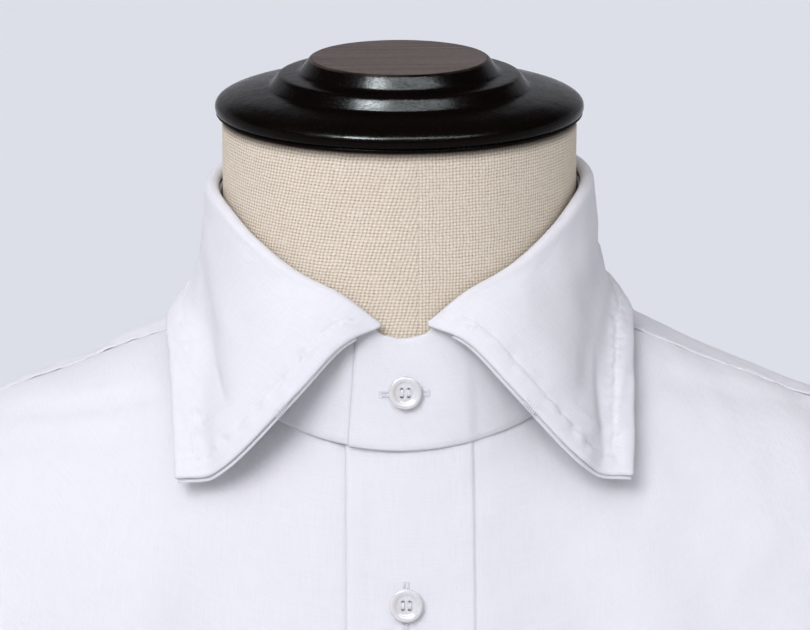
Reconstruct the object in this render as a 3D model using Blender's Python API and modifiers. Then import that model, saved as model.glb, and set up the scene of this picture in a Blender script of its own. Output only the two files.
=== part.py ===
"""A long-sleeved dress shirt with a spread collar, worn by a limbless dress form on a short stand.

Metres, +Z up, +X to the right of someone who looks at the front, the front faces -Y.
Heights in the tables are measured from the top of the form's neck, so most are negative.
"""

from collections import namedtuple

import bpy
import numpy as np
from mathutils import Matrix

# Driving sizes of the shirt and of the form
NECK_TOP = 1.000
NECK_RADIUS = 0.0601
CLOTH = 0.0012
SEAM_GAP = 0.0004
LAYER_GAP = 0.0005
FRONT_OVERLAP = 0.0190
PLACKET_RISE = 0.0006

# Driving sizes of the collar
FOLD_RADIUS = 0.0638
ROLL_RADIUS = 0.0019
ROLL_END = 0.20
STAND_TOP_DROP = 0.0036
STAND_CLOTH = 0.0014
STAND_OVERLAP_DEG = 14.5
STAND_FOOT_LEVEL = 0.030
STAND_BELLY = 0.0002
STAND_TOP_RADIUS = 0.0614
LEAF_CLOTH = 0.0011
UNDER_LEAF_LIP = 0.0008
COLLAR_TILT = 0.020

BUTTON_RADIUS = 0.0056
BUTTON_THICKNESS = 0.0026
BUTTON_GAP = 0.0004
COLLAR_BUTTON_HEIGHT = -0.0800
FRONT_BUTTON_FIRST = -0.1465
FRONT_BUTTON_SPACING = 0.0930
FRONT_BUTTONS = 7

# The body is a set of closed rings round the neck, from the neckline out over the shoulders and
# down to the hem. Each ring is a superellipse in plan, and its height runs from the front's to
# the side's and the back's. Shape is the superellipse's exponent, the powers say how soon the
# height changes from the side to the front and the back, and ease is how far the dress form lies
# inside the cloth.
Level = namedtuple(
    "Level",
    "name half_width front_depth back_depth front_z side_z back_z shape front_power back_power ease",
)
LEVELS = (
    Level("neckline", 0.0668, 0.0700, 0.0665, -0.0972, -0.0705, -0.0600, 2.00, 1.1, 1.1, 0.0052),
    Level("collar edge", 0.1000, 0.0850, 0.0840, -0.1400, -0.0845, -0.0860, 2.25, 1.9, 1.6, 0.0046),
    Level("mid shoulder", 0.1520, 0.1040, 0.1040, -0.1980, -0.1035, -0.1300, 2.30, 2.4, 1.5, 0.0050),
    Level("shoulder point", 0.2120, 0.1170, 0.1180, -0.2600, -0.1290, -0.1850, 2.35, 2.4, 1.6, 0.0085),
    Level("mid armhole", 0.2060, 0.1250, 0.1260, -0.3150, -0.2400, -0.2560, 2.40, 2.4, 2.0, 0.0080),
    Level("armpit", 0.1980, 0.1290, 0.1290, -0.3700, -0.3560, -0.3540, 2.40, 2.0, 2.0, 0.0110),
    Level("waist", 0.1790, 0.1180, 0.1080, -0.5400, -0.5400, -0.5400, 2.40, 2.0, 2.0, 0.0130),
    Level("hip", 0.1880, 0.1220, 0.1180, -0.7000, -0.7000, -0.7000, 2.40, 2.0, 2.0, 0.0120),
    Level("hem", 0.1910, 0.1240, 0.1210, -0.8300, -0.7650, -0.8450, 2.40, 1.6, 1.6, 0.0120),
)
SHOULDER, ARMPIT = 3.0, 5.0

# Seams on the rings, as angles round the neck from the centre front, and as levels
SHOULDER_SEAM_DEG = 88.5
ARMHOLE_FRONT_DEG = 22.0
ARMHOLE_BACK_DEG = 23.0
YOKE_SEAM_LEVEL = 3.412
BODY_START = 0.0

# Where the fronts' rows and columns of points lie: levels down the table, distances from the
# centre front across the overlap and the placket, and shares of what is left to the side
SHOULDER_LEVELS = (BODY_START, 0.35, 0.7, 1.0, 1.5, 2.0, 2.5, 2.8, 3.0)
ARMHOLE_STEPS = 10
SIDE_LEVELS = (5.35, 5.7, 6.1, 6.5, 7.0, 7.5, 8.0)
PLACKET_COLUMNS = (-0.0190, -0.0095, 0.0, 0.0095, 0.0190, 0.0209, 0.0225)
FRONT_ANGLES = (28.0, 38.0, 48.0, 57.0)
FRONT_SIDE_SHARES = (0.38, 0.74, 1.0)
YOKE_COLUMNS = 29
BACK_COLUMNS = 27

# Soft folds of the body: angle, width, depth and the levels between which they run
BodyFold = namedtuple("BodyFold", "angle width depth top bottom")
BODY_FOLDS = (
    BodyFold(24, 7, -0.0040, 4.6, 8.6),
    BodyFold(-27, 8, -0.0045, 4.9, 8.6),
    BodyFold(52, 9, -0.0050, 4.2, 8.6),
    BodyFold(-55, 9, -0.0045, 4.4, 8.6),
    BodyFold(38, 6, 0.0035, 5.2, 8.6),
    BodyFold(-40, 7, 0.0035, 5.4, 8.6),
    BodyFold(78, 8, 0.0035, 5.6, 8.6),
    BodyFold(-76, 8, 0.0035, 5.7, 8.6),
    BodyFold(108, 8, -0.0045, 4.7, 8.6),
    BodyFold(-110, 9, -0.0045, 4.9, 8.6),
    BodyFold(134, 7, 0.0045, 4.4, 8.6),
    BodyFold(-131, 8, 0.0045, 4.6, 8.6),
    BodyFold(152, 7, -0.0055, 4.0, 8.6),
    BodyFold(-149, 7, -0.0050, 4.1, 8.6),
    BodyFold(171, 7, 0.0040, 4.5, 8.6),
    BodyFold(-172, 7, 0.0040, 4.6, 8.6),
)

# The line along which the collar folds over, from the centre back to its front end
FoldPoint = namedtuple("FoldPoint", "angle height")
FOLD_LINE = (
    FoldPoint(180.0, -0.0200),
    FoldPoint(150.0, -0.0202),
    FoldPoint(120.0, -0.0207),
    FoldPoint(92.0, -0.0222),
    FoldPoint(70.0, -0.0250),
    FoldPoint(52.0, -0.0325),
    FoldPoint(34.0, -0.0417),
    FoldPoint(19.0, -0.0482),
    FoldPoint(7.2, -0.0575),
)

# The leaf's outer edge, from the centre back over the shoulder to the collar point
EdgePoint = namedtuple("EdgePoint", "place x y z")
LEAF_OUTER_EDGE = (
    EdgePoint("centre back", 0.0000, 0.0785, -0.0640),
    EdgePoint("back", 0.0395, 0.0695, -0.0645),
    EdgePoint("back of shoulder", 0.0665, 0.0400, -0.0660),
    EdgePoint("shoulder", 0.0778, 0.0010, -0.0697),
    EdgePoint("front of shoulder", 0.0773, -0.0240, -0.0775),
    EdgePoint("over the chest", 0.0762, -0.0485, -0.0905),
    EdgePoint("collar point", 0.0748, -0.0700, -0.1085),
)
LEAF_FRONT_EDGE = (
    EdgePoint("fold", 0.0078, -0.0655, -0.0580),
    EdgePoint("upper", 0.0205, -0.0712, -0.0625),
    EdgePoint("middle", 0.0350, -0.0762, -0.0765),
    EdgePoint("lower", 0.0540, -0.0772, -0.0968),
    EdgePoint("rounded", 0.0635, -0.0745, -0.1045),
    EdgePoint("collar point", 0.0748, -0.0700, -0.1085),
)
LEAF_HOLLOW = 0.0052

# Each sleeve hangs empty from its armhole: a flattened tube through these sections
SleeveLevel = namedtuple("SleeveLevel", "name height x y half_depth half_thickness")
SLEEVE_LEVELS = (
    SleeveLevel("upper arm", -0.400, 0.2440, 0.0040, 0.0880, 0.0330),
    SleeveLevel("elbow", -0.545, 0.2460, -0.0020, 0.0770, 0.0270),
    SleeveLevel("forearm", -0.655, 0.2450, -0.0110, 0.0660, 0.0230),
    SleeveLevel("wrist", -0.7150, 0.2440, -0.0160, 0.0580, 0.0190),
)
SLEEVE_CAP_PLACES = (-1.0, -0.86, -0.7, -0.5, -0.3, -0.12, 0.0)
SLEEVE_PLACES = SLEEVE_CAP_PLACES + (0.35, 0.7, 1.05, 1.4, 1.75, 2.1, 2.45, 2.75, 3.0)
CUFF_TOP = -0.7160
CUFF_BOTTOM = -0.7820
CUFF_EASE = 0.0012
CUFF_OVERLAP_DEG = 12.0
CUFF_BUTTON_DEG = 300.0

POLE_RADIUS = 0.0180
BASE_RADIUS = 0.1700
BASE_HEIGHT = 0.0280
FORM_BOTTOM = -0.8650
FORM_SHOULDER_LEVELS = (0.08, 0.35, 0.7, 1.0, 1.5, 2.0, 2.5, 2.85, 3.05, 3.3, 3.7, 4.1, 4.55)
FORM_LEVELS = FORM_SHOULDER_LEVELS + (5.0, 5.5, 6.0, 6.5, 7.0)


def along(table, column, place):
    """A column of a table, read at a place between its rows on a smooth curve through them."""
    values = np.array([getattr(row, column) for row in table], float)
    place = np.clip(np.asarray(place, float), 0, len(values) - 1)
    row = np.minimum(place.astype(int), len(values) - 2)
    part = place - row
    padded = np.concatenate([[2 * values[0] - values[1]], values, [2 * values[-1] - values[-2]]])
    before, start, end, after = (padded[row + i] for i in range(4))
    slope_in, slope_out = (end - before) / 2, (after - start) / 2
    return (
        (2 * part**3 - 3 * part**2 + 1) * start
        + (part**3 - 2 * part**2 + part) * slope_in
        + (3 * part**2 - 2 * part**3) * end
        + (part**3 - part**2) * slope_out
    )


def ease_between(value, low, high):
    """0 below low, 1 above high and a smooth step between them."""
    share = np.clip((np.asarray(value, float) - low) / (high - low), 0, 1)
    return share * share * (3 - 2 * share)


def bump(value, centre, width):
    return np.exp(-(((np.asarray(value, float) - centre) / width) ** 2))


def normals_of(surface, first, second, step=1e-3):
    """Outward unit normals of surface(first, second), by differences."""
    across = surface(first + step, second) - surface(first - step, second)
    down = surface(first, second + step) - surface(first, second - step)
    cross = np.cross(across, down)
    return cross / np.linalg.norm(cross, axis=-1, keepdims=True)


def worn_tilt(points):
    """The worn collar sits a little higher on the +X side."""
    lifted = points.copy()
    lifted[..., 2] += COLLAR_TILT * points[..., 0] * ease_between(points[..., 2], -0.110, -0.055)
    return lifted


def ring_point(angle, level, folds=1.0):
    """A point of the shirt's body at an angle round the neck and a level down the table."""
    angle, level = np.broadcast_arrays(np.asarray(angle, float), np.asarray(level, float))
    sine, cosine = np.sin(np.radians(angle)), np.cos(np.radians(angle))
    in_front = cosine > 0
    depth = np.where(
        in_front, along(LEVELS, "front_depth", level), along(LEVELS, "back_depth", level)
    )
    half_width, shape = along(LEVELS, "half_width", level), along(LEVELS, "shape", level)
    radius = (np.abs(sine / half_width) ** shape + np.abs(cosine / depth) ** shape) ** (-1 / shape)
    turn = (angle + 180) % 360 - 180
    for fold in BODY_FOLDS:
        apart = (turn - fold.angle + 180) % 360 - 180
        grown = ease_between(level, fold.top, fold.top + 1.6)
        radius = radius + folds * fold.depth * bump(apart, 0, fold.width) * grown
    power = np.where(
        in_front, along(LEVELS, "front_power", level), along(LEVELS, "back_power", level)
    )
    away = np.clip(np.abs(radius * cosine) / depth, 0, 1) ** power
    side = along(LEVELS, "side_z", level)
    end = np.where(in_front, along(LEVELS, "front_z", level), along(LEVELS, "back_z", level))
    return np.stack([radius * sine, -radius * cosine, side + (end - side) * away], -1)


def body_point(angle, level, out=0.0, folds=1.0):
    """A point of the body moved outwards by a distance."""
    surface = lambda a, b: ring_point(a, b, folds)
    points = surface(angle, level)
    outward = normals_of(lambda a, b: surface(a * 57.3, b), np.asarray(angle) / 57.3, level)
    return points - outward * np.asarray(out)[..., None] if np.ndim(out) else points - outward * out


def armhole_angle(level, half_angle):
    """How far the armhole's edge lies from the side, in degrees, at a level."""
    middle = (SHOULDER + ARMPIT) / 2
    share = np.clip((np.asarray(level, float) - middle) / (ARMPIT - middle), -1, 1)
    return half_angle * np.sqrt(1 - share * share)


def armhole_levels():
    """The levels of the armhole's points below the shoulder point, down to the armpit."""
    turns = np.radians(np.arange(1, ARMHOLE_STEPS + 1) * 180 / ARMHOLE_STEPS)
    return (SHOULDER + ARMPIT) / 2 - (ARMPIT - SHOULDER) / 2 * np.cos(turns)


def panel_side(level, half_angle):
    """The angle at which a front or back panel ends: shoulder seam, armhole, then side seam."""
    inside = (np.asarray(level) > SHOULDER) & (np.asarray(level) < ARMPIT)
    return np.where(inside, 90 - armhole_angle(level, half_angle), 90.0)


def gap_angle(distance, level):
    return np.degrees(distance / along(LEVELS, "half_width", level))


def mesh_object(name, points, faces, material):
    mesh = bpy.data.meshes.new(name)
    mesh.from_pydata([tuple(p) for p in points], [], faces)
    mesh.update()
    piece = bpy.data.objects.new(name, mesh)
    PARTS.objects.link(piece)
    mesh.materials.append(material)
    mesh.shade_smooth()
    mesh.set_sharp_from_angle(angle=np.radians(50))
    return piece


def grid_faces(rows, columns, closed=False):
    """Quads of a grid of points, joined into a tube where it is closed."""
    faces = []
    for r in range(rows - 1):
        for c in range(columns if closed else columns - 1):
            d = (c + 1) % columns
            upper, lower = r * columns, (r + 1) * columns
            faces.append((upper + c, upper + d, lower + d, lower + c))
    return faces


def cloth_piece(name, grid, thickness, material, closed=False):
    """A wall of cloth: the grid is its middle surface, and Solidify gives it thickness."""
    rows, columns = grid.shape[:2]
    points = grid.reshape(-1, 3) + np.array([0, 0, NECK_TOP])
    piece = mesh_object(name, points, grid_faces(rows, columns, closed), material)
    wall = piece.modifiers.new("Wall", "SOLIDIFY")
    wall.thickness = thickness
    wall.offset = 0
    wall.use_even_offset = True
    return piece


def turned_piece(name, profile, steps, material, centre=(0.0, 0.0, 0.0)):
    """A turned piece: the profile lists radius and height, from its outer top to its foot."""
    mesh = bpy.data.meshes.new(name)
    edges = [(i, i + 1) for i in range(len(profile) - 1)]
    mesh.from_pydata([(radius, 0, height) for radius, height in profile], edges, [])
    piece = bpy.data.objects.new(name, mesh)
    PARTS.objects.link(piece)
    piece.location = centre
    mesh.materials.append(material)
    screw = piece.modifiers.new("Turn", "SCREW")
    screw.steps = screw.render_steps = steps
    screw.use_merge_vertices = True
    screw.merge_threshold = 0.00005
    return piece


def plain_material(name, colour, roughness):
    material = bpy.data.materials.new(name)
    material.use_nodes = True
    shader = material.node_tree.nodes["Principled BSDF"]
    shader.inputs["Base Color"].default_value = (*colour, 1)
    shader.inputs["Roughness"].default_value = roughness
    shader.inputs["Metallic"].default_value = 0
    return material


def radial_of(points):
    """Unit vectors that point straight away from the neck's axis."""
    flat = points * np.array([1, 1, 0])
    return flat / np.linalg.norm(flat, axis=-1, keepdims=True)


def fold_point(share):
    """The centre of the collar's roll, from the centre back at 0 to its front end at 1."""
    place = np.asarray(share, float) * (len(FOLD_LINE) - 1)
    angle = np.radians(along(FOLD_LINE, "angle", place))
    height = along(FOLD_LINE, "height", place) - ROLL_RADIUS
    return np.stack([FOLD_RADIUS * np.sin(angle), -FOLD_RADIUS * np.cos(angle), height], -1)


def edge_curve(table, share):
    place = np.asarray(share, float) * (len(table) - 1)
    return np.stack([along(table, column, place) for column in "xyz"], -1)


def leaf_point(share, drop, side=1.0):
    """The leaf's middle surface for +X: share runs from back to front, drop from fold to edge.

    A negative drop, down to -1, goes back over the roll to the inside of the collar.
    """
    share, drop = np.broadcast_arrays(np.asarray(share, float), np.asarray(drop, float))
    roll = fold_point(share)
    radial = radial_of(roll)
    upward = np.array([0, 0, 1])
    top = roll + ROLL_RADIUS * (radial * np.cos(ROLL_END) + upward * np.sin(ROLL_END))
    down = np.clip(drop, 0, 1)[..., None]
    outer = edge_curve(LEAF_OUTER_EDGE, share)
    points = top * (1 - down) + outer * down
    front_line = edge_curve(LEAF_FRONT_EDGE, down[..., 0])
    straight = leaf_front_chord(down)
    points = points + (front_line - straight) * ease_between(share, 0.45, 1.0)[..., None]
    flare = down[..., 0] ** 1.5 - down[..., 0] ** 3
    hollow = LEAF_HOLLOW * flare * (1 - ease_between(share, 0.55, 0.95))
    points = points - radial * hollow[..., None]
    turn = ROLL_END + np.clip(-drop, 0, 1)[..., None] * (np.pi - ROLL_END)
    over = roll + ROLL_RADIUS * (radial * np.cos(turn) + upward * np.sin(turn))
    return np.where(drop[..., None] < 0, over, points) * np.array([side, 1, 1])


def leaf_front_chord(down):
    """The straight line between the ends of the leaf's front edge."""
    return edge_curve(LEAF_FRONT_EDGE, 0.0) * (1 - down) + edge_curve(LEAF_FRONT_EDGE, 1.0) * down


def leaf_surface(place, drop):
    """The whole leaf: place runs from -1 at the -X front end, by 0 at the back, to 1 at +X."""
    place = np.asarray(place, float)
    sign = np.where(place < 0, -1.0, 1.0)
    points = leaf_point(np.abs(place), drop)
    return worn_tilt(points * np.stack([sign, np.ones_like(sign), np.ones_like(sign)], -1))


def leaf_grid(columns, drops, inwards, lip):
    place, drop = np.meshgrid(np.linspace(-1, 1, columns), np.asarray(drops))
    grid = leaf_surface(place, drop)
    if inwards:
        outward = leaf_normals(place, drop)
        grid = grid - outward * inwards
    if lip:
        front = grid[:, -1] - grid[:, -2]
        back = grid[:, 0] - grid[:, 1]
        grid[:, -1] += lip * front / np.linalg.norm(front, axis=-1, keepdims=True)
        grid[:, 0] += lip * back / np.linalg.norm(back, axis=-1, keepdims=True)
    return grid


def leaf_normals(place, drop, step=1e-3):
    held = np.clip(drop, step, 1 - step)
    kept = np.clip(place, -1 + step, 1 - step)
    across = leaf_surface(kept + step, held) - leaf_surface(kept - step, held)
    down = leaf_surface(kept, held + step) - leaf_surface(kept, held - step)
    cross = np.cross(across, down)
    return cross / np.linalg.norm(cross, axis=-1, keepdims=True)


def build_leaf(white):
    roll = [-1.0, -0.75, -0.5, -0.25]
    falls = [0.07, 0.20, 0.36, 0.54, 0.72, 0.88, 1.0]
    grid = leaf_grid(43, roll + [0.0] + falls, 0.0, 0.0)
    cloth_piece("collar_leaf", grid[::-1], LEAF_CLOTH, white)
    under = leaf_grid(43, [0.13] + falls[1:], LEAF_CLOTH + LAYER_GAP, UNDER_LEAF_LIP)
    cloth_piece("under_collar", under[::-1], LEAF_CLOTH, white)


def stand_surface(turn, up):
    """The collar stand: turn is the angle from the centre front, past 180 for the -X side."""
    turn, up = np.broadcast_arrays(np.asarray(turn, float), np.asarray(up, float))
    angle = np.clip((turn + 180) % 360 - 180, -180, 180)
    angle = np.where(turn > 180, turn - 360, np.where(turn < -180, turn + 360, angle))
    foot = body_point(angle, np.full(angle.shape, STAND_FOOT_LEVEL))
    layers = (CLOTH + STAND_CLOTH) / 2 + LAYER_GAP + front_lift(np.abs(foot[..., 0]))
    foot = body_point(angle, np.full(angle.shape, STAND_FOOT_LEVEL), layers)
    shares = np.linspace(0, 1, 200)
    line = fold_point(shares)
    line_angle = np.degrees(np.arctan2(line[:, 0], -line[:, 1]))
    fold_height = np.interp(np.abs(angle), line_angle[::-1], line[::-1, 2])
    front_drop = 0.0022 * (1 - ease_between(np.abs(angle), 0, 12))
    height = fold_height + ROLL_RADIUS - STAND_TOP_DROP - front_drop
    radians = np.radians(angle)
    top = np.stack([np.sin(radians) * STAND_TOP_RADIUS, -np.cos(radians) * STAND_TOP_RADIUS, height], -1)
    belly = STAND_BELLY * np.sin(np.pi * up)[..., None]
    points = foot * (1 - up[..., None]) + top * up[..., None]
    return points + radial_of(points) * belly


def stand_shift(turn, up):
    """How far the stand's ends part: the +X end lies over the -X end, which stays in."""
    over = 1 - ease_between(turn, -STAND_OVERLAP_DEG, 22)
    under = 1 - ease_between(360 - turn, -STAND_OVERLAP_DEG, 22)
    return (STAND_CLOTH + LAYER_GAP) * (over * (1.05 - 0.5 * up) - under * 0.5 * up)


def build_stand(white):
    """One strip round the neck, whose +X end lies over its -X end at the front."""
    end = STAND_OVERLAP_DEG
    turns = np.concatenate(
        [np.linspace(-end, 24, 8), np.linspace(32, 328, 34), np.linspace(336, 360 + end, 8)]
    )
    ups = np.linspace(0, 1, 5)
    turn, up = np.meshgrid(turns, ups)
    grid = stand_surface(turn, up)
    grid = grid + radial_of(grid) * stand_shift(turn, up)[..., None]
    for column, fall in ((0, 0.006), (1, 0.0016), (-1, 0.006), (-2, 0.0016)):
        foot, top = grid[0, column], grid[-1, column]
        lowered = top - (top - foot) / np.linalg.norm(top - foot) * fall
        grid[:, column] = foot + (lowered - foot) * ups[:, None]
    cloth_piece("collar_stand", worn_tilt(grid)[::-1], STAND_CLOTH, white)


def overlap_angle(level, x):
    """The angle at which the front ring of a level reaches a small distance x past the centre."""
    return np.degrees(np.arcsin(np.clip(x / along(LEVELS, "front_depth", level), -1, 1)))


def front_lift(across):
    """How far the upper front lies above the lower one, at a distance to its own side."""
    lift = (CLOTH + LAYER_GAP) * (1 - ease_between(across, FRONT_OVERLAP, 0.045))
    return lift + PLACKET_RISE * (across < PLACKET_COLUMNS[-1] - 0.0005)


def build_front(name, side, white):
    """A front from the overlap at the centre to the shoulder seam, armhole and side seam."""
    outer = side > 0
    columns = len(PLACKET_COLUMNS) + len(FRONT_ANGLES) + len(FRONT_SIDE_SHARES)
    levels = front_levels()
    grid = np.zeros((len(levels), columns, 3))
    for row, level in enumerate(levels):
        finish = panel_side(level, ARMHOLE_FRONT_DEG)
        if level <= SHOULDER:
            finish = SHOULDER_SEAM_DEG
        finish = finish - gap_angle(SEAM_GAP / 2, level)
        near = overlap_angle(level, np.array(PLACKET_COLUMNS))
        far = FRONT_ANGLES[-1] + (finish - FRONT_ANGLES[-1]) * np.array(FRONT_SIDE_SHARES)
        angles = np.concatenate([near, FRONT_ANGLES, far])
        across = np.sin(np.radians(angles)) * along(LEVELS, "front_depth", level)
        lift = front_lift(across) if outer else 0 * across
        grid[row] = body_point(angles, np.full(len(angles), level), lift)
    grid = grid * np.array([side, 1, 1])
    if not outer:
        grid = grid[:, ::-1]
    cloth_piece(name, worn_tilt(grid), CLOTH, white)


def build_yoke(white):
    """Over both shoulders, from the front seams to the seam across the back."""
    levels = np.concatenate([SHOULDER_LEVELS, armhole_levels()[:2], [YOKE_SEAM_LEVEL - 0.003]])
    grid = np.zeros((len(levels), YOKE_COLUMNS, 3))
    for row, level in enumerate(levels):
        start = SHOULDER_SEAM_DEG
        if level > SHOULDER:
            start = 90 + armhole_angle(level, ARMHOLE_BACK_DEG)
        start = start + gap_angle(SEAM_GAP / 2, level)
        angles = 180 + np.linspace(-1, 1, YOKE_COLUMNS) * (180 - start)
        grid[row] = body_point(angles, np.full(YOKE_COLUMNS, level))
    cloth_piece("yoke", worn_tilt(grid), CLOTH, white)


def build_back(white):
    levels = np.concatenate(
        [[YOKE_SEAM_LEVEL + 0.003, 3.55], armhole_levels()[3:], SIDE_LEVELS]
    )
    grid = np.zeros((len(levels), BACK_COLUMNS, 3))
    for row, level in enumerate(levels):
        start = 180 - panel_side(level, ARMHOLE_BACK_DEG) + gap_angle(SEAM_GAP / 2, level)
        angles = 180 + np.linspace(-1, 1, BACK_COLUMNS) * (180 - start)
        grid[row] = body_point(angles, np.full(BACK_COLUMNS, level))
    cloth_piece("back", grid, CLOTH, white)


def sleeve_ring(turn, place, grow=0.0):
    """A section of the hanging sleeve: turn 0 is its outer side, 90 its front edge."""
    half_depth = along(SLEEVE_LEVELS, "half_depth", place) + grow
    half_thickness = along(SLEEVE_LEVELS, "half_thickness", place) + grow
    crease = 0.05 * np.sin(np.radians(3 * turn + 160 * place))
    crease = crease + 0.03 * np.sin(np.radians(5 * turn - 210 * place))
    x = along(SLEEVE_LEVELS, "x", place) + half_thickness * (1 + crease) * np.cos(np.radians(turn))
    y = along(SLEEVE_LEVELS, "y", place) - half_depth * np.sin(np.radians(turn))
    return np.stack([x, y, along(SLEEVE_LEVELS, "height", place) + 0 * turn], -1)


def armhole_point(turn, out):
    """The armhole's loop: turn 0 is the shoulder point and 180 the armpit."""
    middle, reach = (SHOULDER + ARMPIT) / 2, (ARMPIT - SHOULDER) / 2
    level = middle - reach * np.cos(np.radians(turn))
    sine = np.sin(np.radians(turn))
    angle = 90 - np.where(sine > 0, ARMHOLE_FRONT_DEG, ARMHOLE_BACK_DEG) * sine
    points = ring_point(angle, level)
    return points + np.asarray(out)[..., None] * np.array([1.0, 0, 0])


def sleeve_point(turn, place):
    """From the armhole, at -1, over the drooping shoulder to the hanging tube below 0."""
    turn, place = np.broadcast_arrays(np.asarray(turn, float), np.asarray(place, float))
    below = ease_between(180 - np.abs(turn - 180), 60, 150)
    start = armhole_point(turn, 2 * SEAM_GAP + CLOTH * below)
    end = sleeve_ring(turn, np.zeros_like(turn))
    chord = np.linalg.norm(end - start, axis=-1, keepdims=True)
    out = np.array([0.90, 0, -0.44]) * chord * 0.75
    down = np.array([0, 0, -1.0]) * chord * 0.95
    part = np.clip(place + 1, 0, 1)[..., None]
    cap = (
        (2 * part**3 - 3 * part**2 + 1) * start
        + (part**3 - 2 * part**2 + part) * out
        + (3 * part**2 - 2 * part**3) * end
        + (part**3 - part**2) * down
    )
    return np.where(place[..., None] < 0, cap, sleeve_ring(turn, np.clip(place, 0, None)))


def build_sleeve(name, side, white):
    turns = np.arange(2 * ARMHOLE_STEPS) * 180 / ARMHOLE_STEPS
    turn, place = np.meshgrid(turns, SLEEVE_PLACES)
    grid = sleeve_point(turn, place) * np.array([side, 1, 1])
    if side > 0:
        grid = grid[:, ::-1]
    cloth_piece(name, grid, CLOTH, white, closed=True)


def cuff_outward(points):
    return radial_of(points - np.array([SLEEVE_LEVELS[-1].x, SLEEVE_LEVELS[-1].y, 0]))


def cuff_shift(turn):
    """How far the cuff's ends part where they lap."""
    start = 1 - ease_between(turn - (CUFF_BUTTON_DEG - 360 - CUFF_OVERLAP_DEG), 0, 34)
    finish = 1 - ease_between(CUFF_BUTTON_DEG + CUFF_OVERLAP_DEG - turn, 0, 34)
    return (finish - start) * (CLOTH + LAYER_GAP) * 0.62


def build_cuff(name, side, white):
    """A strip round the wrist whose ends lap at the outer back."""
    lap = CUFF_OVERLAP_DEG
    turns = np.linspace(CUFF_BUTTON_DEG - 360 - lap, CUFF_BUTTON_DEG + lap, 27)
    heights = np.linspace(CUFF_TOP, CUFF_BOTTOM, 4)
    turn, height = np.meshgrid(turns, heights)
    grid = sleeve_ring(turn, np.full(turn.shape, 3.0), CUFF_EASE)
    grid[..., 2] = height
    grid = grid + cuff_outward(grid) * cuff_shift(turn)[..., None]
    grid = grid * np.array([side, 1, 1])
    if side > 0:
        grid = grid[:, ::-1]
    cloth_piece(name, grid, CLOTH, white)


def build_button(name, point, outward, pearl):
    """A turned button, set just proud of the cloth, facing outwards."""
    radius = BUTTON_RADIUS
    profile = (
        (0.0, BUTTON_THICKNESS - 0.0007),
        (radius * 0.62, BUTTON_THICKNESS - 0.0007),
        (radius * 0.74, BUTTON_THICKNESS),
        (radius * 0.92, BUTTON_THICKNESS),
        (radius, BUTTON_THICKNESS - 0.0008),
        (radius * 0.84, 0.0002),
        (0.0, 0.0),
    )
    outward = np.asarray(outward, float) / np.linalg.norm(outward)
    place = np.asarray(point, float) + outward * BUTTON_GAP
    piece = turned_piece(name, profile, 10, pearl, centre=tuple(place + np.array([0, 0, NECK_TOP])))
    up = np.array([0, 0, 1.0])
    across = np.cross(up, outward)
    across /= np.linalg.norm(across)
    piece.rotation_mode = "QUATERNION"
    columns = Matrix([across, np.cross(outward, across), outward]).transposed()
    piece.rotation_quaternion = columns.to_quaternion()
    return piece


def front_levels():
    return np.concatenate([SHOULDER_LEVELS, armhole_levels(), SIDE_LEVELS])


def front_centre(height):
    """The outside of the upper front at the centre, on the flat between two of its rows."""
    levels = front_levels()
    lift = float(front_lift(np.array(0.0))) + CLOTH / 2
    rows = body_point(np.zeros(len(levels)), levels, lift)
    row = int(np.searchsorted(-rows[:, 2], -height)) - 1
    upper, lower = rows[row], rows[row + 1]
    share = (upper[2] - height) / (upper[2] - lower[2])
    down = lower - upper
    return upper + down * share, np.array([0, down[2], -down[1]])


def build_buttons(pearl):
    stand_top = stand_surface(np.array(0.0), np.array(1.0))
    stand_foot = stand_surface(np.array(0.0), np.array(0.0))
    share = (COLLAR_BUTTON_HEIGHT - stand_foot[2]) / (stand_top[2] - stand_foot[2])
    middle = stand_surface(np.array(0.0), np.array(share))
    lean = stand_top - stand_foot
    outward = np.array([0, -lean[2], lean[1]])
    outward /= np.linalg.norm(outward)
    lift = stand_shift(0.0, share) + STAND_CLOTH / 2
    build_button("collar_button", middle + outward * lift, outward, pearl)
    for i in range(FRONT_BUTTONS):
        point, outward = front_centre(FRONT_BUTTON_FIRST - i * FRONT_BUTTON_SPACING)
        build_button(f"front_button_{i + 1}", point, outward, pearl)
    turn = np.array(CUFF_BUTTON_DEG)
    ring = sleeve_ring(turn, np.array(3.0), CUFF_EASE)
    outward = cuff_outward(ring)
    tangent = sleeve_ring(turn + 1, np.array(3.0), CUFF_EASE) - ring
    square = np.array([tangent[1], -tangent[0], 0])
    square = square * np.sign(np.dot(square, outward)) / np.linalg.norm(square)
    point = ring + outward * cuff_shift(turn) + square * CLOTH / 2
    point[2] = (CUFF_TOP + CUFF_BOTTOM) / 2
    for name, side in (("left", 1.0), ("right", -1.0)):
        flip = np.array([side, 1, 1])
        build_button(f"cuff_button_{name}", point * flip, square * flip, pearl)


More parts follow.
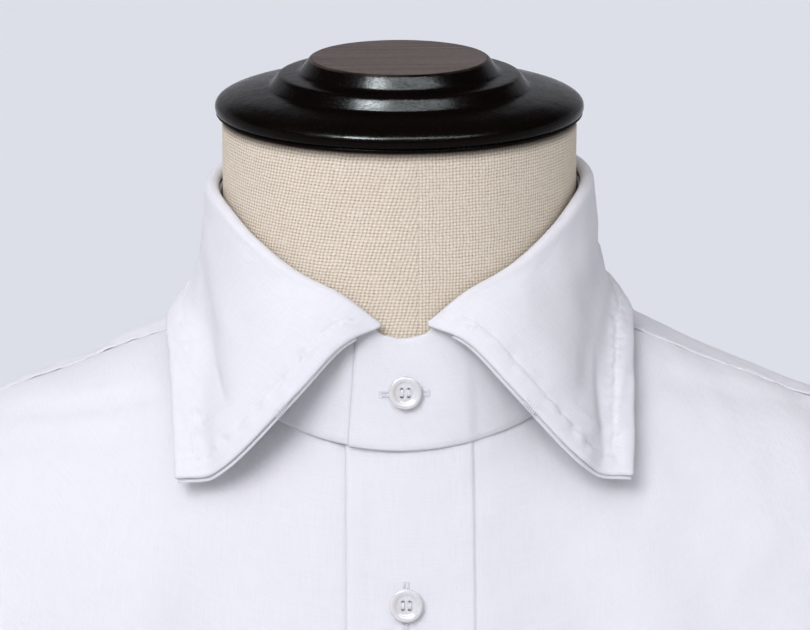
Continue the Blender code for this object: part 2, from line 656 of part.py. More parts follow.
def build_form(linen):
    """The limbless form: a round neck that flares into shoulders, chest, waist and hip."""
    columns = 32
    angles = np.arange(columns) * 360 / columns
    sines, cosines = np.sin(np.radians(angles)), np.cos(np.radians(angles))
    rows = []
    base = body_point(angles, np.full(columns, 0.0), 0.0, folds=0.0)
    for share in (0.0, 0.4, 0.75, 1.0):
        height = (base[:, 2] + 0.006) * share
        rows.append(np.stack([NECK_RADIUS * sines, -NECK_RADIUS * cosines, height], -1))
    for level in FORM_LEVELS:
        inside = -(float(along(LEVELS, "ease", level)) + CLOTH / 2)
        rows.append(body_point(angles, np.full(columns, level), inside, folds=0.0))
    foot = rows[-1].copy()
    foot[:, 2] = FORM_BOTTOM + 0.006
    rows.append(foot)
    last = foot * np.array([0.97, 0.97, 1])
    last[:, 2] = FORM_BOTTOM
    rows.append(last)
    grid = np.array(rows)
    points = grid.reshape(-1, 3) + np.array([0, 0, NECK_TOP])
    faces = grid_faces(len(rows), columns, closed=True)
    faces.append(tuple(range(columns))[::-1])
    faces.append(tuple((len(rows) - 1) * columns + i for i in range(columns)))
    faces = [face[::-1] for face in faces]
    mesh_object("form_torso", points, faces, linen)


def build_cap_and_stand(lacquer):
    """The stepped cap on the neck, and the pole and round base that the form stands on."""
    cap = (
        (0.0, 0.0191),
        (0.0303, 0.0191),
        (0.0319, 0.0183),
        (0.0331, 0.0167),
        (0.0336, 0.0150),
        (0.0352, 0.0141),
        (0.0392, 0.0138),
        (0.0422, 0.0131),
        (0.0436, 0.0116),
        (0.0441, 0.0099),
        (0.0462, 0.0093),
        (0.0545, 0.0077),
        (0.0604, 0.0056),
        (0.0622, 0.0043),
        (0.0626, 0.0029),
        (0.0622, 0.0014),
        (0.0612, 0.0006),
        (0.0594, 0.0003),
        (0.0, 0.0003),
    )
    turned_piece("neck_cap", cap, 24, lacquer, centre=(0, 0, NECK_TOP))
    top, foot = NECK_TOP + FORM_BOTTOM - 0.0003, BASE_HEIGHT + 0.0003
    pole = (
        (0.0, top),
        (0.060, top),
        (0.062, top - 0.004),
        (0.058, top - 0.009),
        (0.026, top - 0.014),
        (POLE_RADIUS, top - 0.026),
        (POLE_RADIUS, foot + 0.020),
        (0.025, foot + 0.010),
        (0.036, foot + 0.004),
        (0.038, foot),
        (0.0, foot),
    )
    turned_piece("form_pole", pole, 20, lacquer)
    radius, height = BASE_RADIUS, BASE_HEIGHT
    base = (
        (0.0, height),
        (radius * 0.62, height),
        (radius * 0.66, height - 0.004),
        (radius * 0.86, height - 0.008),
        (radius * 0.90, height - 0.013),
        (radius * 0.98, height - 0.016),
        (radius, height - 0.020),
        (radius, 0.003),
        (radius * 0.985, 0.0),
        (0.0, 0.0),
    )
    turned_piece("form_base", base, 32, lacquer)


def main():
    white = plain_material("white_cotton", (0.86, 0.86, 0.90), 0.85)
    pearl = plain_material("pearl_button", (0.88, 0.87, 0.84), 0.25)
    linen = plain_material("linen", (0.66, 0.58, 0.47), 0.90)
    lacquer = plain_material("black_lacquer", (0.012, 0.010, 0.010), 0.25)
    build_leaf(white)
    build_stand(white)
    build_front("front_left", 1.0, white)
    build_front("front_right", -1.0, white)
    build_yoke(white)
    build_back(white)
    for name, side in (("left", 1.0), ("right", -1.0)):
        build_sleeve(f"sleeve_{name}", side, white)
        build_cuff(f"cuff_{name}", side, white)
    build_buttons(pearl)
    build_form(linen)
    build_cap_and_stand(lacquer)


for old in list(bpy.data.objects):
    bpy.data.objects.remove(old)
PARTS = bpy.data.collections.new("spread_collar_shirt_on_form")
bpy.context.scene.collection.children.link(PARTS)
main()
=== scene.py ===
"""The looks of a long-sleeved dress shirt with a spread collar, on a limbless dress form.

Metres, +Z up, +X to the right of someone who looks at the front, the front faces -Y.
Heights in the tables are measured from the top of the form's neck, as in the part's source.
Each piece of cloth is a finer wall on the form of the CAD node that it stands for.
"""

from collections import namedtuple

import bpy
import numpy as np
from mathutils import Matrix


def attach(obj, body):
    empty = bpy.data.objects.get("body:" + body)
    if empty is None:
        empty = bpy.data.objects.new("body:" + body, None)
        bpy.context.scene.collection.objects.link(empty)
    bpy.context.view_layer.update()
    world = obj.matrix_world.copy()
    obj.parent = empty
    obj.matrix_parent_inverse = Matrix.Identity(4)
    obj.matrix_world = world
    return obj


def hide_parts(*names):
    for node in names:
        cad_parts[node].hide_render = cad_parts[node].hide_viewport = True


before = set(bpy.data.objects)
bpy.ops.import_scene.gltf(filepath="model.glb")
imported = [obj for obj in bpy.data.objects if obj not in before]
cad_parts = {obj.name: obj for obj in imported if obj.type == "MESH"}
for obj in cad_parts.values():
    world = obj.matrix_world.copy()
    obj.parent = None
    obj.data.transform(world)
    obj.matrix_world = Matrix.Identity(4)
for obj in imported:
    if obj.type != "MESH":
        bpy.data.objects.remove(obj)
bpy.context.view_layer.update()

# What the looks alone need: cloth as thin as it looks, thread, and where the seams are sewn
SHIRTING = 0.0007
SHIRTING_PITCH = 0.00032
COLLAR_PLY = 0.0010
RIM = 0.42
THREAD_RADIUS = 0.00013
THREAD_SINK = -0.00004
STITCH_LENGTH = 0.0022
STITCH_GAP = 0.0006
COLLAR_TOPSTITCH = 0.0065

# Bar tacks on the leaf's front edges: their place, their stitches and how far those reach
TACK_DROP = 0.46
TACK_ROWS = 1.3
TACK_STITCHES = 7
TACK_LIFT = 0.00010
TACK_INSIDE = 0.0016
TACK_PAST = 0.0018
TACK_DIP = 0.0004
TACK_RADIUS = 0.00022

# Seams: where they are stitched, how they lap and where the cloth beside them is gathered
EDGE_STITCH = 0.0015
FLAT_BESIDE_SEAM = 0.012
SEAM_LAP = 0.0011
PRESSED_LAP = 0.78
YOKE_LAP_LEVELS = 0.015
LAP_END = 0.009
LAP_RELEASE = 0.15
FAR_OFF = 0.05
SEAM_RUMPLE_PLACE, SEAM_RUMPLE_WIDTH = 0.006, 0.005
GATHER_HEIGHT = 0.0017
GATHER_PLACE, GATHER_WIDTH = 0.010, 0.006
GATHER_LEVEL = 0.9
PLACKET_EDGE = 0.0224
PLACKET_STITCH = 0.0062
HEM_STITCH = 0.0060
CUFF_STITCH = 0.0060
STAND_PLY = 0.0010
STAND_CORNER = 0.0065
UNDER_GAP = 0.0005

# The buttons' holes and threads, and the stitches of the buttonholes
BUTTON_HOLE_REACH = 0.0016
BUTTON_HOLE_RADIUS = 0.0006
BUTTON_THREAD_RADIUS = 0.00024
BUTTON_THREAD_SHIFT = 0.00022
BUTTON_THREAD_REACH = 1.12
BUTTON_THREAD_SINK = 0.0006
BUTTONHOLE_LENGTH = 0.0145
BUTTONHOLE_STITCHES = 44
BUTTONHOLE_SLIT = 0.00012
BUTTONHOLE_WIDTH = 0.00125
BUTTONHOLE_END_STITCHES = 8
BUTTONHOLE_END_WIDTH = 0.0011
BUTTONHOLE_END_LENGTH = 0.0009
BUTTONHOLE_THREAD_RADIUS = 0.00016
COLLAR_BUTTONHOLE_LENGTH = 0.0150

# Driving sizes of the shirt and of the form
NECK_TOP = 1.000
NECK_RADIUS = 0.0601
CLOTH = 0.0012
SEAM_GAP = 0.0004
LAYER_GAP = 0.0002
FRONT_OVERLAP = 0.0190
PLACKET_RISE = 0.0006

# Driving sizes of the collar
FOLD_RADIUS = 0.0638
ROLL_RADIUS = 0.0019
ROLL_END = 0.20
PRESSED_END = 0.66
STAND_TOP_DROP = 0.0036
STAND_OVERLAP_DEG = 14.5
STAND_FOOT_LEVEL = 0.030
STAND_BELLY = 0.0002
STAND_TOP_RADIUS = 0.0614
UNDER_LEAF_LIP = 0.0008
COLLAR_TILT = 0.020
TILT_FROM, TILT_TO = -0.110, -0.055
PRESSED_FROM = 0.86
FRONT_EDGE_FROM = 0.45
HOLLOW_FROM, HOLLOW_TO = 0.55, 0.95
STAND_FRONT_DROP = 0.0022
STAND_FRONT_DEG = 12
STAND_LAP_DEG = 22
STAND_LAP = 1.05
STAND_LEAN = 0.5
FRONT_LIFT_END = 0.045

# Buttons
BUTTON_RADIUS = 0.0056
BUTTON_THICKNESS = 0.0026
BUTTON_GAP = 0.0004
CUFF_BUTTON_GAP = 0.0005
COLLAR_BUTTON_HEIGHT = -0.0800
FRONT_BUTTON_FIRST = -0.1465
FRONT_BUTTON_SPACING = 0.0930
FRONT_BUTTONS = 7

# The body is a set of closed rings round the neck, from the neckline out over the shoulders and
# down to the hem. Each ring is a superellipse in plan, and its height runs from the front's to
# the side's and the back's. Shape is the superellipse's exponent, the powers say how soon the
# height changes from the side to the front and the back, and ease is how far the dress form lies
# inside the cloth.
Level = namedtuple(
    "Level",
    "name half_width front_depth back_depth front_z side_z back_z shape front_power back_power ease",
)
LEVELS = (
    Level("neckline", 0.0668, 0.0700, 0.0665, -0.0972, -0.0705, -0.0600, 2.00, 1.1, 1.1, 0.0052),
    Level("collar edge", 0.1000, 0.0850, 0.0840, -0.1400, -0.0845, -0.0860, 2.25, 1.9, 1.6, 0.0046),
    Level("mid shoulder", 0.1520, 0.1040, 0.1040, -0.1980, -0.1035, -0.1300, 2.30, 2.4, 1.5, 0.0050),
    Level("shoulder point", 0.2120, 0.1170, 0.1180, -0.2600, -0.1290, -0.1850, 2.35, 2.4, 1.6, 0.0085),
    Level("mid armhole", 0.2060, 0.1250, 0.1260, -0.3150, -0.2400, -0.2560, 2.40, 2.4, 2.0, 0.0080),
    Level("armpit", 0.1980, 0.1290, 0.1290, -0.3700, -0.3560, -0.3540, 2.40, 2.0, 2.0, 0.0110),
    Level("waist", 0.1790, 0.1180, 0.1080, -0.5400, -0.5400, -0.5400, 2.40, 2.0, 2.0, 0.0130),
    Level("hip", 0.1880, 0.1220, 0.1180, -0.7000, -0.7000, -0.7000, 2.40, 2.0, 2.0, 0.0120),
    Level("hem", 0.1910, 0.1240, 0.1210, -0.8300, -0.7650, -0.8450, 2.40, 1.6, 1.6, 0.0120),
)
SHOULDER, ARMPIT, HEM = 3.0, 5.0, 8.0
ARMHOLE_MIDDLE = (SHOULDER + ARMPIT) / 2
ARMHOLE_REACH = (ARMPIT - SHOULDER) / 2

# Degrees that a normal's step covers as much as a level
TURN_UNIT = 57.3

# Seams on the rings, as angles round the neck from the centre front, and as levels
SHOULDER_SEAM_DEG = 88.5
WORN_SEAM_DEG = 6.6
WORN_SEAM_LEVEL, WORN_SEAM_REACH = 0.8, 0.85
SEAM_STRAIGHT_FROM = 2.4
ARMHOLE_FRONT_DEG = 22.0
ARMHOLE_BACK_DEG = 23.0
YOKE_SEAM_LEVEL = 3.412

# Soft folds of the body: angle, width, depth and the levels between which they run
BodyFold = namedtuple("BodyFold", "angle width depth top bottom")
FOLD_GROWTH = 1.6
BODY_FOLDS = (
    BodyFold(24, 7, -0.0040, 4.6, 8.6),
    BodyFold(-27, 8, -0.0045, 4.9, 8.6),
    BodyFold(52, 9, -0.0050, 4.2, 8.6),
    BodyFold(-55, 9, -0.0045, 4.4, 8.6),
    BodyFold(38, 6, 0.0035, 5.2, 8.6),
    BodyFold(-40, 7, 0.0035, 5.4, 8.6),
    BodyFold(78, 8, 0.0035, 5.6, 8.6),
    BodyFold(-76, 8, 0.0035, 5.7, 8.6),
    BodyFold(108, 8, -0.0045, 4.7, 8.6),
    BodyFold(-110, 9, -0.0045, 4.9, 8.6),
    BodyFold(134, 7, 0.0045, 4.4, 8.6),
    BodyFold(-131, 8, 0.0045, 4.6, 8.6),
    BodyFold(152, 7, -0.0055, 4.0, 8.6),
    BodyFold(-149, 7, -0.0050, 4.1, 8.6),
    BodyFold(171, 7, 0.0040, 4.5, 8.6),
    BodyFold(-172, 7, 0.0040, 4.6, 8.6),
)

# The line along which the collar folds over, from the centre back to its front end
FoldPoint = namedtuple("FoldPoint", "angle height")
FOLD_LINE = (
    FoldPoint(180.0, -0.0200),
    FoldPoint(150.0, -0.0202),
    FoldPoint(120.0, -0.0207),
    FoldPoint(92.0, -0.0222),
    FoldPoint(70.0, -0.0250),
    FoldPoint(52.0, -0.0325),
    FoldPoint(34.0, -0.0417),
    FoldPoint(19.0, -0.0482),
    FoldPoint(7.2, -0.0575),
)

# The leaf's outer edge, from the centre back over the shoulder to the collar point
EdgePoint = namedtuple("EdgePoint", "place x y z")
LEAF_OUTER_EDGE = (
    EdgePoint("centre back", 0.0000, 0.0785, -0.0640),
    EdgePoint("back", 0.0395, 0.0695, -0.0645),
    EdgePoint("back of shoulder", 0.0665, 0.0400, -0.0660),
    EdgePoint("shoulder", 0.0778, 0.0010, -0.0697),
    EdgePoint("front of shoulder", 0.0773, -0.0240, -0.0775),
    EdgePoint("over the chest", 0.0762, -0.0485, -0.0905),
    EdgePoint("collar point", 0.0748, -0.0700, -0.1085),
)
LEAF_FRONT_EDGE = (
    EdgePoint("fold", 0.0078, -0.0655, -0.0580),
    EdgePoint("upper", 0.0205, -0.0712, -0.0625),
    EdgePoint("middle", 0.0350, -0.0762, -0.0765),
    EdgePoint("lower", 0.0540, -0.0772, -0.0968),
    EdgePoint("rounded", 0.0635, -0.0745, -0.1045),
    EdgePoint("collar point", 0.0748, -0.0700, -0.1085),
)
LEAF_HOLLOW = 0.0052

# Each sleeve hangs empty from its armhole: a flattened tube through these sections
SleeveLevel = namedtuple("SleeveLevel", "name height x y half_depth half_thickness")
SLEEVE_LEVELS = (
    SleeveLevel("upper arm", -0.400, 0.2440, 0.0040, 0.0880, 0.0330),
    SleeveLevel("elbow", -0.545, 0.2460, -0.0020, 0.0770, 0.0270),
    SleeveLevel("forearm", -0.655, 0.2450, -0.0110, 0.0660, 0.0230),
    SleeveLevel("wrist", -0.7150, 0.2440, -0.0160, 0.0580, 0.0190),
)

# Soft flutes round a sleeve, which turn as they run down it
SleeveFlute = namedtuple("SleeveFlute", "height waves twist")
SLEEVE_FLUTES = (
    SleeveFlute(0.05, 3, 160),
    SleeveFlute(0.03, 5, -210),
)

# The sleeve's head: the way in which it leaves the armhole, and how far it goes out and down
HEAD_WAY = np.array([0.90, 0, -0.44])
HEAD_OUT = 0.75
HEAD_DOWN = 0.95

# Cuffs: their edges, and how their ends lap round the wrist
CUFF_TOP = -0.7160
CUFF_BOTTOM = -0.7820
CUFF_OVERLAP_DEG = 12.0
CUFF_BUTTON_DEG = 300.0
CUFF_EASE = 0.0012
CUFF_LAP_DEG = 34
CUFF_LAP_SHARE = 0.62
WRIST = len(SLEEVE_LEVELS) - 1.0

# The form and its pole, base and cap
POLE_RADIUS = 0.0180
BASE_RADIUS = 0.1700
BASE_HEIGHT = 0.0280
FORM_BOTTOM = -0.8650
CAP_DISC_RADIUS = 0.0301
CAP_TOP = 0.0191
CAP_RINGS = 110
POLE_GAP = 0.0003
TURNED_ROUNDING = 0.004
NECK_SHARES = (0.0, 0.2, 0.4, 0.6, 0.75, 0.9, 1.0)
NECK_FOOT_RISE = 0.006
FORM_LEVELS = (
    0.08, 0.35, 0.7, 1.0, 1.5, 2.0, 2.5, 2.85, 3.05, 3.3, 3.7, 4.1, 4.55, 5.0, 5.5, 6.0, 6.5, 7.0,
)

# The rounded edge of the form's underside: its share of the lowest ring and its height
FORM_FOOT = ((1.0, 0.006), (0.995, 0.002), (0.97, 0.0))
FORM_RINGS = 120

# The turned cap of the neck, from the middle of its top to the middle of its foot
ProfilePoint = namedtuple("ProfilePoint", "radius height")
CAP_PROFILE = (
    (0.0010, 0.0191), (0.0200, 0.0191), (0.0288, 0.0191), (0.0298, 0.01905), (0.0305, 0.0187),
    (0.0312, 0.0179), (0.0322, 0.0166), (0.0333, 0.0151), (0.0339, 0.0145), (0.0349, 0.0141),
    (0.0372, 0.0139), (0.0397, 0.0137), (0.0408, 0.0134), (0.0415, 0.0128), (0.0425, 0.0115),
    (0.0436, 0.0101), (0.0442, 0.0095), (0.0453, 0.0092), (0.0482, 0.0088), (0.0545, 0.0077),
    (0.0588, 0.0064), (0.0607, 0.0055), (0.0617, 0.0047), (0.0623, 0.0038), (0.0625, 0.0028),
    (0.0624, 0.0019), (0.0620, 0.0011), (0.0611, 0.0005), (0.0594, 0.0003), (0.0300, 0.0003),
    (0.0010, 0.0003),
)

# The linen's thread spacings, the place of the seam down the neck, and how far down the painted shade under
# the cap reaches
LINEN_PITCH_RIGHT = 0.00115
LINEN_PITCH_LEFT = 0.00137
LINEN_PITCH_LEVEL = 0.00107
FORM_SEAM_DEG = 4.6
FORM_SEAM_DEPTH = 0.00022
FORM_SEAM_WIDTH = 0.00045
LINEN_SKEW = 0.22
PAINTED_SHADE_DEPTH = 0.0046

# Colours, light and the camera of the photograph
SHIRT_TONE = (0.706, 0.703, 0.706)
FLOOR_TONE = (0.690, 0.719, 0.719)
FLOOR_CLOUD = 1.006
LIGHT_TONE = (0.93, 0.915, 1.0)
HORIZON_TONE = (0.50, 0.51, 0.55)
FRONT_TONE = (0.12, 0.12, 0.13)
OVERHEAD_TONE = (0.03, 0.03, 0.032)
GLEAM_TONE = (0.76, 0.90, 1.0)
GLEAM_DEPTH = 0.22
FLOOR_SIZE = 60.0
CAMERA_DISTANCE = 1.6
CAMERA_ELEVATION = 14.6
CAMERA_AZIMUTH = -1.5
CAMERA_AIM = -0.071
CAMERA_SIDE = 0.0019
CAMERA_LENS = 207.4
CAMERA_SENSOR = 36

# Wide soft lights from far away, with the place that they shine from, and their spread in degrees
Sun = namedtuple("Sun", "name place strength spread")
SUNS = (
    Sun("key", (-0.36, -0.76, 0.64), 2.00, 32),
    Sun("dome", (0.02, -0.32, 0.94), 1.50, 130),
    Sun("front", (0.10, -0.90, 0.42), 0.28, 90),
    Sun("edge", (-0.50, 0.62, 0.60), 0.80, 70),
)

# Lamps that only the lacquer's gloss shows, at places measured from the neck's top
Gleam = namedtuple("Gleam", "name place width energy")
GLEAMS = (
    Gleam("gleam", (-0.40, -0.55, 1.02), 0.34, 40.0),
    Gleam("long_gleam", (0.00, -0.50, 1.02), 1.50, 40.0),
)

# Colours of the materials
COOL_TINT = (0.985, 0.985, 1.0)
NO_TINT = (1.0, 1.0, 1.0)
SLUB_SHADE = 0.955
LINEN_SHADE = (0.585, 0.50, 0.385)
LINEN_LIGHT = (0.805, 0.725, 0.585)
LINEN_SLUB = (0.77, 0.695, 0.565)
LINEN_CLOUD = (0.625, 0.545, 0.43)
LINEN_GAP = (0.325, 0.255, 0.170)
LINEN_FLECK = (0.25, 0.185, 0.125)
# Painted shade under the cap: a dark brown at the neck's top
NECK_PAINTED_SHADE = (0.012, 0.006, 0.003)
LACQUER_DEEP = (0.0012, 0.0010, 0.0010)
LACQUER_WARM = (0.0042, 0.0020, 0.0014)
LACQUER_TINT = (1.0, 0.91, 0.84)
CAP_TOP_DARK = (0.082, 0.064, 0.054)
CAP_TOP_LIGHT = (0.150, 0.122, 0.104)
CAP_TOP_ROUGHNESS = 0.46
RUBBED_EDGE = (0.055, 0.036, 0.025)
DUST = (0.45, 0.42, 0.38)
PEARL_WARM = (0.64, 0.61, 0.56)
PEARL_COOL = (0.60, 0.63, 0.65)
PEARL_ROSY = (0.70, 0.67, 0.66)
THREAD_SHADE = (0.62, 0.62, 0.64)
THREAD_LIGHT = (0.74, 0.74, 0.76)

# The tables' origin, the way up, the sides, and a point inside what each kind of cloth is round
FROM_FLOOR = np.array([0, 0, NECK_TOP])
UPWARD = np.array([0, 0, 1.0])
SIDES = (("left", 1.0), ("right", -1.0))
BODY_INSIDE = (0.0, 0.0, -0.30)
COLLAR_INSIDE = (0.0, 0.0, -0.055)
SLEEVE_INSIDE = (0.235, 0.0, -0.45)


def smooth_way(part, start, leaving, end, arriving):
    """A cubic from start to end, with the slopes at which it leaves and arrives."""
    return (
        (2 * part**3 - 3 * part**2 + 1) * start
        + (part**3 - 2 * part**2 + part) * leaving
        + (3 * part**2 - 2 * part**3) * end
        + (part**3 - part**2) * arriving
    )


def along(table, column, place):
    """A column of a table, read at a place between its rows on a smooth curve through them."""
    values = np.array([getattr(row, column) for row in table], float)
    place = np.clip(np.asarray(place, float), 0, len(values) - 1)
    row = np.minimum(place.astype(int), len(values) - 2)
    part = place - row
    padded = np.concatenate([[2 * values[0] - values[1]], values, [2 * values[-1] - values[-2]]])
    before, start, end, after = (padded[row + i] for i in range(4))
    return smooth_way(part, start, (end - before) / 2, end, (after - start) / 2)


def ease_between(value, low, high):
    """0 below low, 1 above high and a smooth step between them."""
    share = np.clip((np.asarray(value, float) - low) / (high - low), 0, 1)
    return share * share * (3 - 2 * share)


def bump(value, centre, width):
    """1 at the centre, and falling off to 0 on both sides of it over about this width."""
    return np.exp(-(((np.asarray(value, float) - centre) / width) ** 2))


def unit(vectors):
    """The same directions with a length of 1."""
    return vectors / np.linalg.norm(vectors, axis=-1, keepdims=True)


def mirrored(points, side):
    """The points for a side of 1, and their mirror image in X for a side of -1."""
    return points * np.array([side, 1, 1])


def normals_of(surface, first, second, step=1e-3):
    """Outward unit normals of surface(first, second), by differences."""
    across = surface(first + step, second) - surface(first - step, second)
    down = surface(first, second + step) - surface(first, second - step)
    return unit(np.cross(across, down))


def worn_tilt(points):
    """The worn collar sits a little higher on the +X side."""
    lifted = points.copy()
    lifted[..., 2] += COLLAR_TILT * points[..., 0] * ease_between(points[..., 2], TILT_FROM, TILT_TO)
    return lifted


def ring_point(angle, level, folds=1.0):
    """A point of the shirt's body at an angle round the neck and a level down the table."""
    angle, level = np.broadcast_arrays(np.asarray(angle, float), np.asarray(level, float))
    sine, cosine = np.sin(np.radians(angle)), np.cos(np.radians(angle))
    in_front = cosine > 0
    depth = np.where(
        in_front, along(LEVELS, "front_depth", level), along(LEVELS, "back_depth", level)
    )
    half_width, shape = along(LEVELS, "half_width", level), along(LEVELS, "shape", level)
    radius = (np.abs(sine / half_width) ** shape + np.abs(cosine / depth) ** shape) ** (-1 / shape)
    turn = (angle + 180) % 360 - 180
    for fold in BODY_FOLDS:
        apart = (turn - fold.angle + 180) % 360 - 180
        grown = ease_between(level, fold.top, fold.top + FOLD_GROWTH)
        radius = radius + folds * fold.depth * bump(apart, 0, fold.width) * grown
    power = np.where(
        in_front, along(LEVELS, "front_power", level), along(LEVELS, "back_power", level)
    )
    away = np.clip(np.abs(radius * cosine) / depth, 0, 1) ** power
    side = along(LEVELS, "side_z", level)
    end = np.where(in_front, along(LEVELS, "front_z", level), along(LEVELS, "back_z", level))
    return np.stack([radius * sine, -radius * cosine, side + (end - side) * away], -1)


def body_point(angle, level, out=0.0, folds=1.0):
    """A point of the body moved outwards by a distance."""

    def turned_point(turn, level):
        return ring_point(turn * TURN_UNIT, level, folds)

    outward = normals_of(turned_point, np.asarray(angle) / TURN_UNIT, level)
    return ring_point(angle, level, folds) - outward * np.asarray(out)[..., None]


def armhole_angle(level, half_angle):
    """How far the armhole's edge lies from the side, in degrees, at a level."""
    share = np.clip((np.asarray(level, float) - ARMHOLE_MIDDLE) / ARMHOLE_REACH, -1, 1)
    return half_angle * np.sqrt(1 - share * share)


def panel_side(level, half_angle):
    """The angle at which a front or back panel ends: shoulder seam, armhole, then side seam."""
    inside = (np.asarray(level) > SHOULDER) & (np.asarray(level) < ARMPIT)
    return np.where(inside, 90 - armhole_angle(level, half_angle), 90.0)


def gap_angle(distance, level):
    """The angle that a distance takes up at the side of a level's ring."""
    return np.degrees(distance / along(LEVELS, "half_width", level))


def radial_of(points):
    """Unit vectors that point straight away from the neck's axis."""
    return unit(points * np.array([1, 1, 0]))


def roll_radius(share):
    """The collar's roll is pressed flatter towards its front ends."""
    return ROLL_RADIUS * (1 - PRESSED_END * ease_between(share, PRESSED_FROM, 1.0))


def fold_point(share):
    """The centre of the collar's roll, from the centre back at 0 to its front end at 1."""
    place = np.asarray(share, float) * (len(FOLD_LINE) - 1)
    angle = np.radians(along(FOLD_LINE, "angle", place))
    height = along(FOLD_LINE, "height", place) - roll_radius(share)
    return np.stack([FOLD_RADIUS * np.sin(angle), -FOLD_RADIUS * np.cos(angle), height], -1)


def edge_curve(table, share):
    """A point of one of the leaf's edges."""
    place = np.asarray(share, float) * (len(table) - 1)
    return np.stack([along(table, column, place) for column in "xyz"], -1)


def leaf_point(share, drop):
    """The leaf's middle surface for +X: share runs from centre back to front, drop from fold to edge.

    A negative drop, down to -1, goes back over the roll to the inside of the collar.
    """
    share, drop = np.broadcast_arrays(np.asarray(share, float), np.asarray(drop, float))
    roll = fold_point(share)
    radial = radial_of(roll)
    radius = roll_radius(share)[..., None]
    top = roll + radius * (radial * np.cos(ROLL_END) + UPWARD * np.sin(ROLL_END))
    down = np.clip(drop, 0, 1)[..., None]
    outer = edge_curve(LEAF_OUTER_EDGE, share)
    points = top * (1 - down) + outer * down
    front_line = edge_curve(LEAF_FRONT_EDGE, down[..., 0])
    straight = leaf_front_chord(down)
    points = points + (front_line - straight) * ease_between(share, FRONT_EDGE_FROM, 1.0)[..., None]
    flare = down[..., 0] ** 1.5 - down[..., 0] ** 3
    hollow = LEAF_HOLLOW * flare * (1 - ease_between(share, HOLLOW_FROM, HOLLOW_TO))
    points = points - radial * hollow[..., None]
    turn = ROLL_END + np.clip(-drop, 0, 1)[..., None] * (np.pi - ROLL_END)
    over = roll + radius * (radial * np.cos(turn) + UPWARD * np.sin(turn))
    return np.where(drop[..., None] < 0, over, points)


def leaf_front_chord(down):
    """The straight line between the ends of the leaf's front edge."""
    return edge_curve(LEAF_FRONT_EDGE, 0.0) * (1 - down) + edge_curve(LEAF_FRONT_EDGE, 1.0) * down


def leaf_surface(place, drop):
    """The whole leaf: place runs from -1 at the -X front end, by 0 at the back, to 1 at the +X end."""
    place = np.asarray(place, float)
    sign = np.where(place < 0, -1.0, 1.0)
    points = leaf_point(np.abs(place), drop)
    return worn_tilt(points * np.stack([sign, np.ones_like(sign), np.ones_like(sign)], -1))


def leaf_normals(place, drop, step=1e-3):
    """The leaf's normals, read a step inside its edges."""
    return normals_of(leaf_surface, np.clip(place, -1 + step, 1 - step), np.clip(drop, step, 1 - step), step)


def stand_surface(turn, up):
    """The collar stand: turn is the angle from the centre front, past 180 for the -X side."""
    turn, up = np.broadcast_arrays(np.asarray(turn, float), np.asarray(up, float))
    angle = np.clip((turn + 180) % 360 - 180, -180, 180)
    angle = np.where(turn > 180, turn - 360, np.where(turn < -180, turn + 360, angle))
    foot = body_point(angle, np.full(angle.shape, STAND_FOOT_LEVEL))
    layers = (SHIRTING + STAND_PLY) / 2 + LAYER_GAP + front_lift(np.abs(foot[..., 0]))
    foot = body_point(angle, np.full(angle.shape, STAND_FOOT_LEVEL), layers)
    shares = np.linspace(0, 1, 200)
    line = fold_point(shares)
    line_angle = np.degrees(np.arctan2(line[:, 0], -line[:, 1]))
    line_height = line[:, 2] + roll_radius(shares)
    fold_height = np.interp(np.abs(angle), line_angle[::-1], line_height[::-1])
    front_drop = STAND_FRONT_DROP * (1 - ease_between(np.abs(angle), 0, STAND_FRONT_DEG))
    height = fold_height - STAND_TOP_DROP - front_drop
    sine, cosine = np.sin(np.radians(angle)), np.cos(np.radians(angle))
    top = np.stack([sine * STAND_TOP_RADIUS, -cosine * STAND_TOP_RADIUS, height], -1)
    belly = STAND_BELLY * np.sin(np.pi * up)[..., None]
    points = foot * (1 - up[..., None]) + top * up[..., None]
    return points + radial_of(points) * belly


def stand_shift(turn, up):
    """How far the stand's ends part: the +X end lies over the -X end, which stays in."""
    over = 1 - ease_between(turn, -STAND_OVERLAP_DEG, STAND_LAP_DEG)
    under = 1 - ease_between(360 - turn, -STAND_OVERLAP_DEG, STAND_LAP_DEG)
    return (STAND_PLY + LAYER_GAP) * (over * (STAND_LAP - STAND_LEAN * up) - under * STAND_LEAN * up)


def overlap_angle(level, x):
    """The angle at which the front ring of a level reaches a small distance x past the centre."""
    return np.degrees(np.arcsin(np.clip(x / along(LEVELS, "front_depth", level), -1, 1)))


def front_lift(across):
    """How far the upper front lies above the lower one, at a distance to its own side."""
    lift = (SHIRTING + LAYER_GAP) * (1 - ease_between(across, FRONT_OVERLAP, FRONT_LIFT_END))
    return lift + PLACKET_RISE * (1 - ease_between(across, PLACKET_EDGE - 0.0007, PLACKET_EDGE))


def sleeve_ring(turn, place, grow=0.0):
    """A section of the hanging sleeve: turn 0 is its outer side, 90 its front edge."""
    half_depth = along(SLEEVE_LEVELS, "half_depth", place) + grow
    half_thickness = along(SLEEVE_LEVELS, "half_thickness", place) + grow
    crease = 1
    for flute in SLEEVE_FLUTES:
        crease = crease + flute.height * np.sin(np.radians(flute.waves * turn + flute.twist * place))
    x = along(SLEEVE_LEVELS, "x", place) + half_thickness * crease * np.cos(np.radians(turn))
    y = along(SLEEVE_LEVELS, "y", place) - half_depth * np.sin(np.radians(turn))
    return np.stack([x, y, along(SLEEVE_LEVELS, "height", place) + 0 * turn], -1)


def armhole_point(turn, out):
    """The armhole's loop: turn 0 is the shoulder point and 180 the armpit."""
    level = ARMHOLE_MIDDLE - ARMHOLE_REACH * np.cos(np.radians(turn))
    sine = np.sin(np.radians(turn))
    angle = 90 - np.where(sine > 0, ARMHOLE_FRONT_DEG, ARMHOLE_BACK_DEG) * sine
    points = ring_point(angle, level)
    return points + np.asarray(out)[..., None] * np.array([1.0, 0, 0])


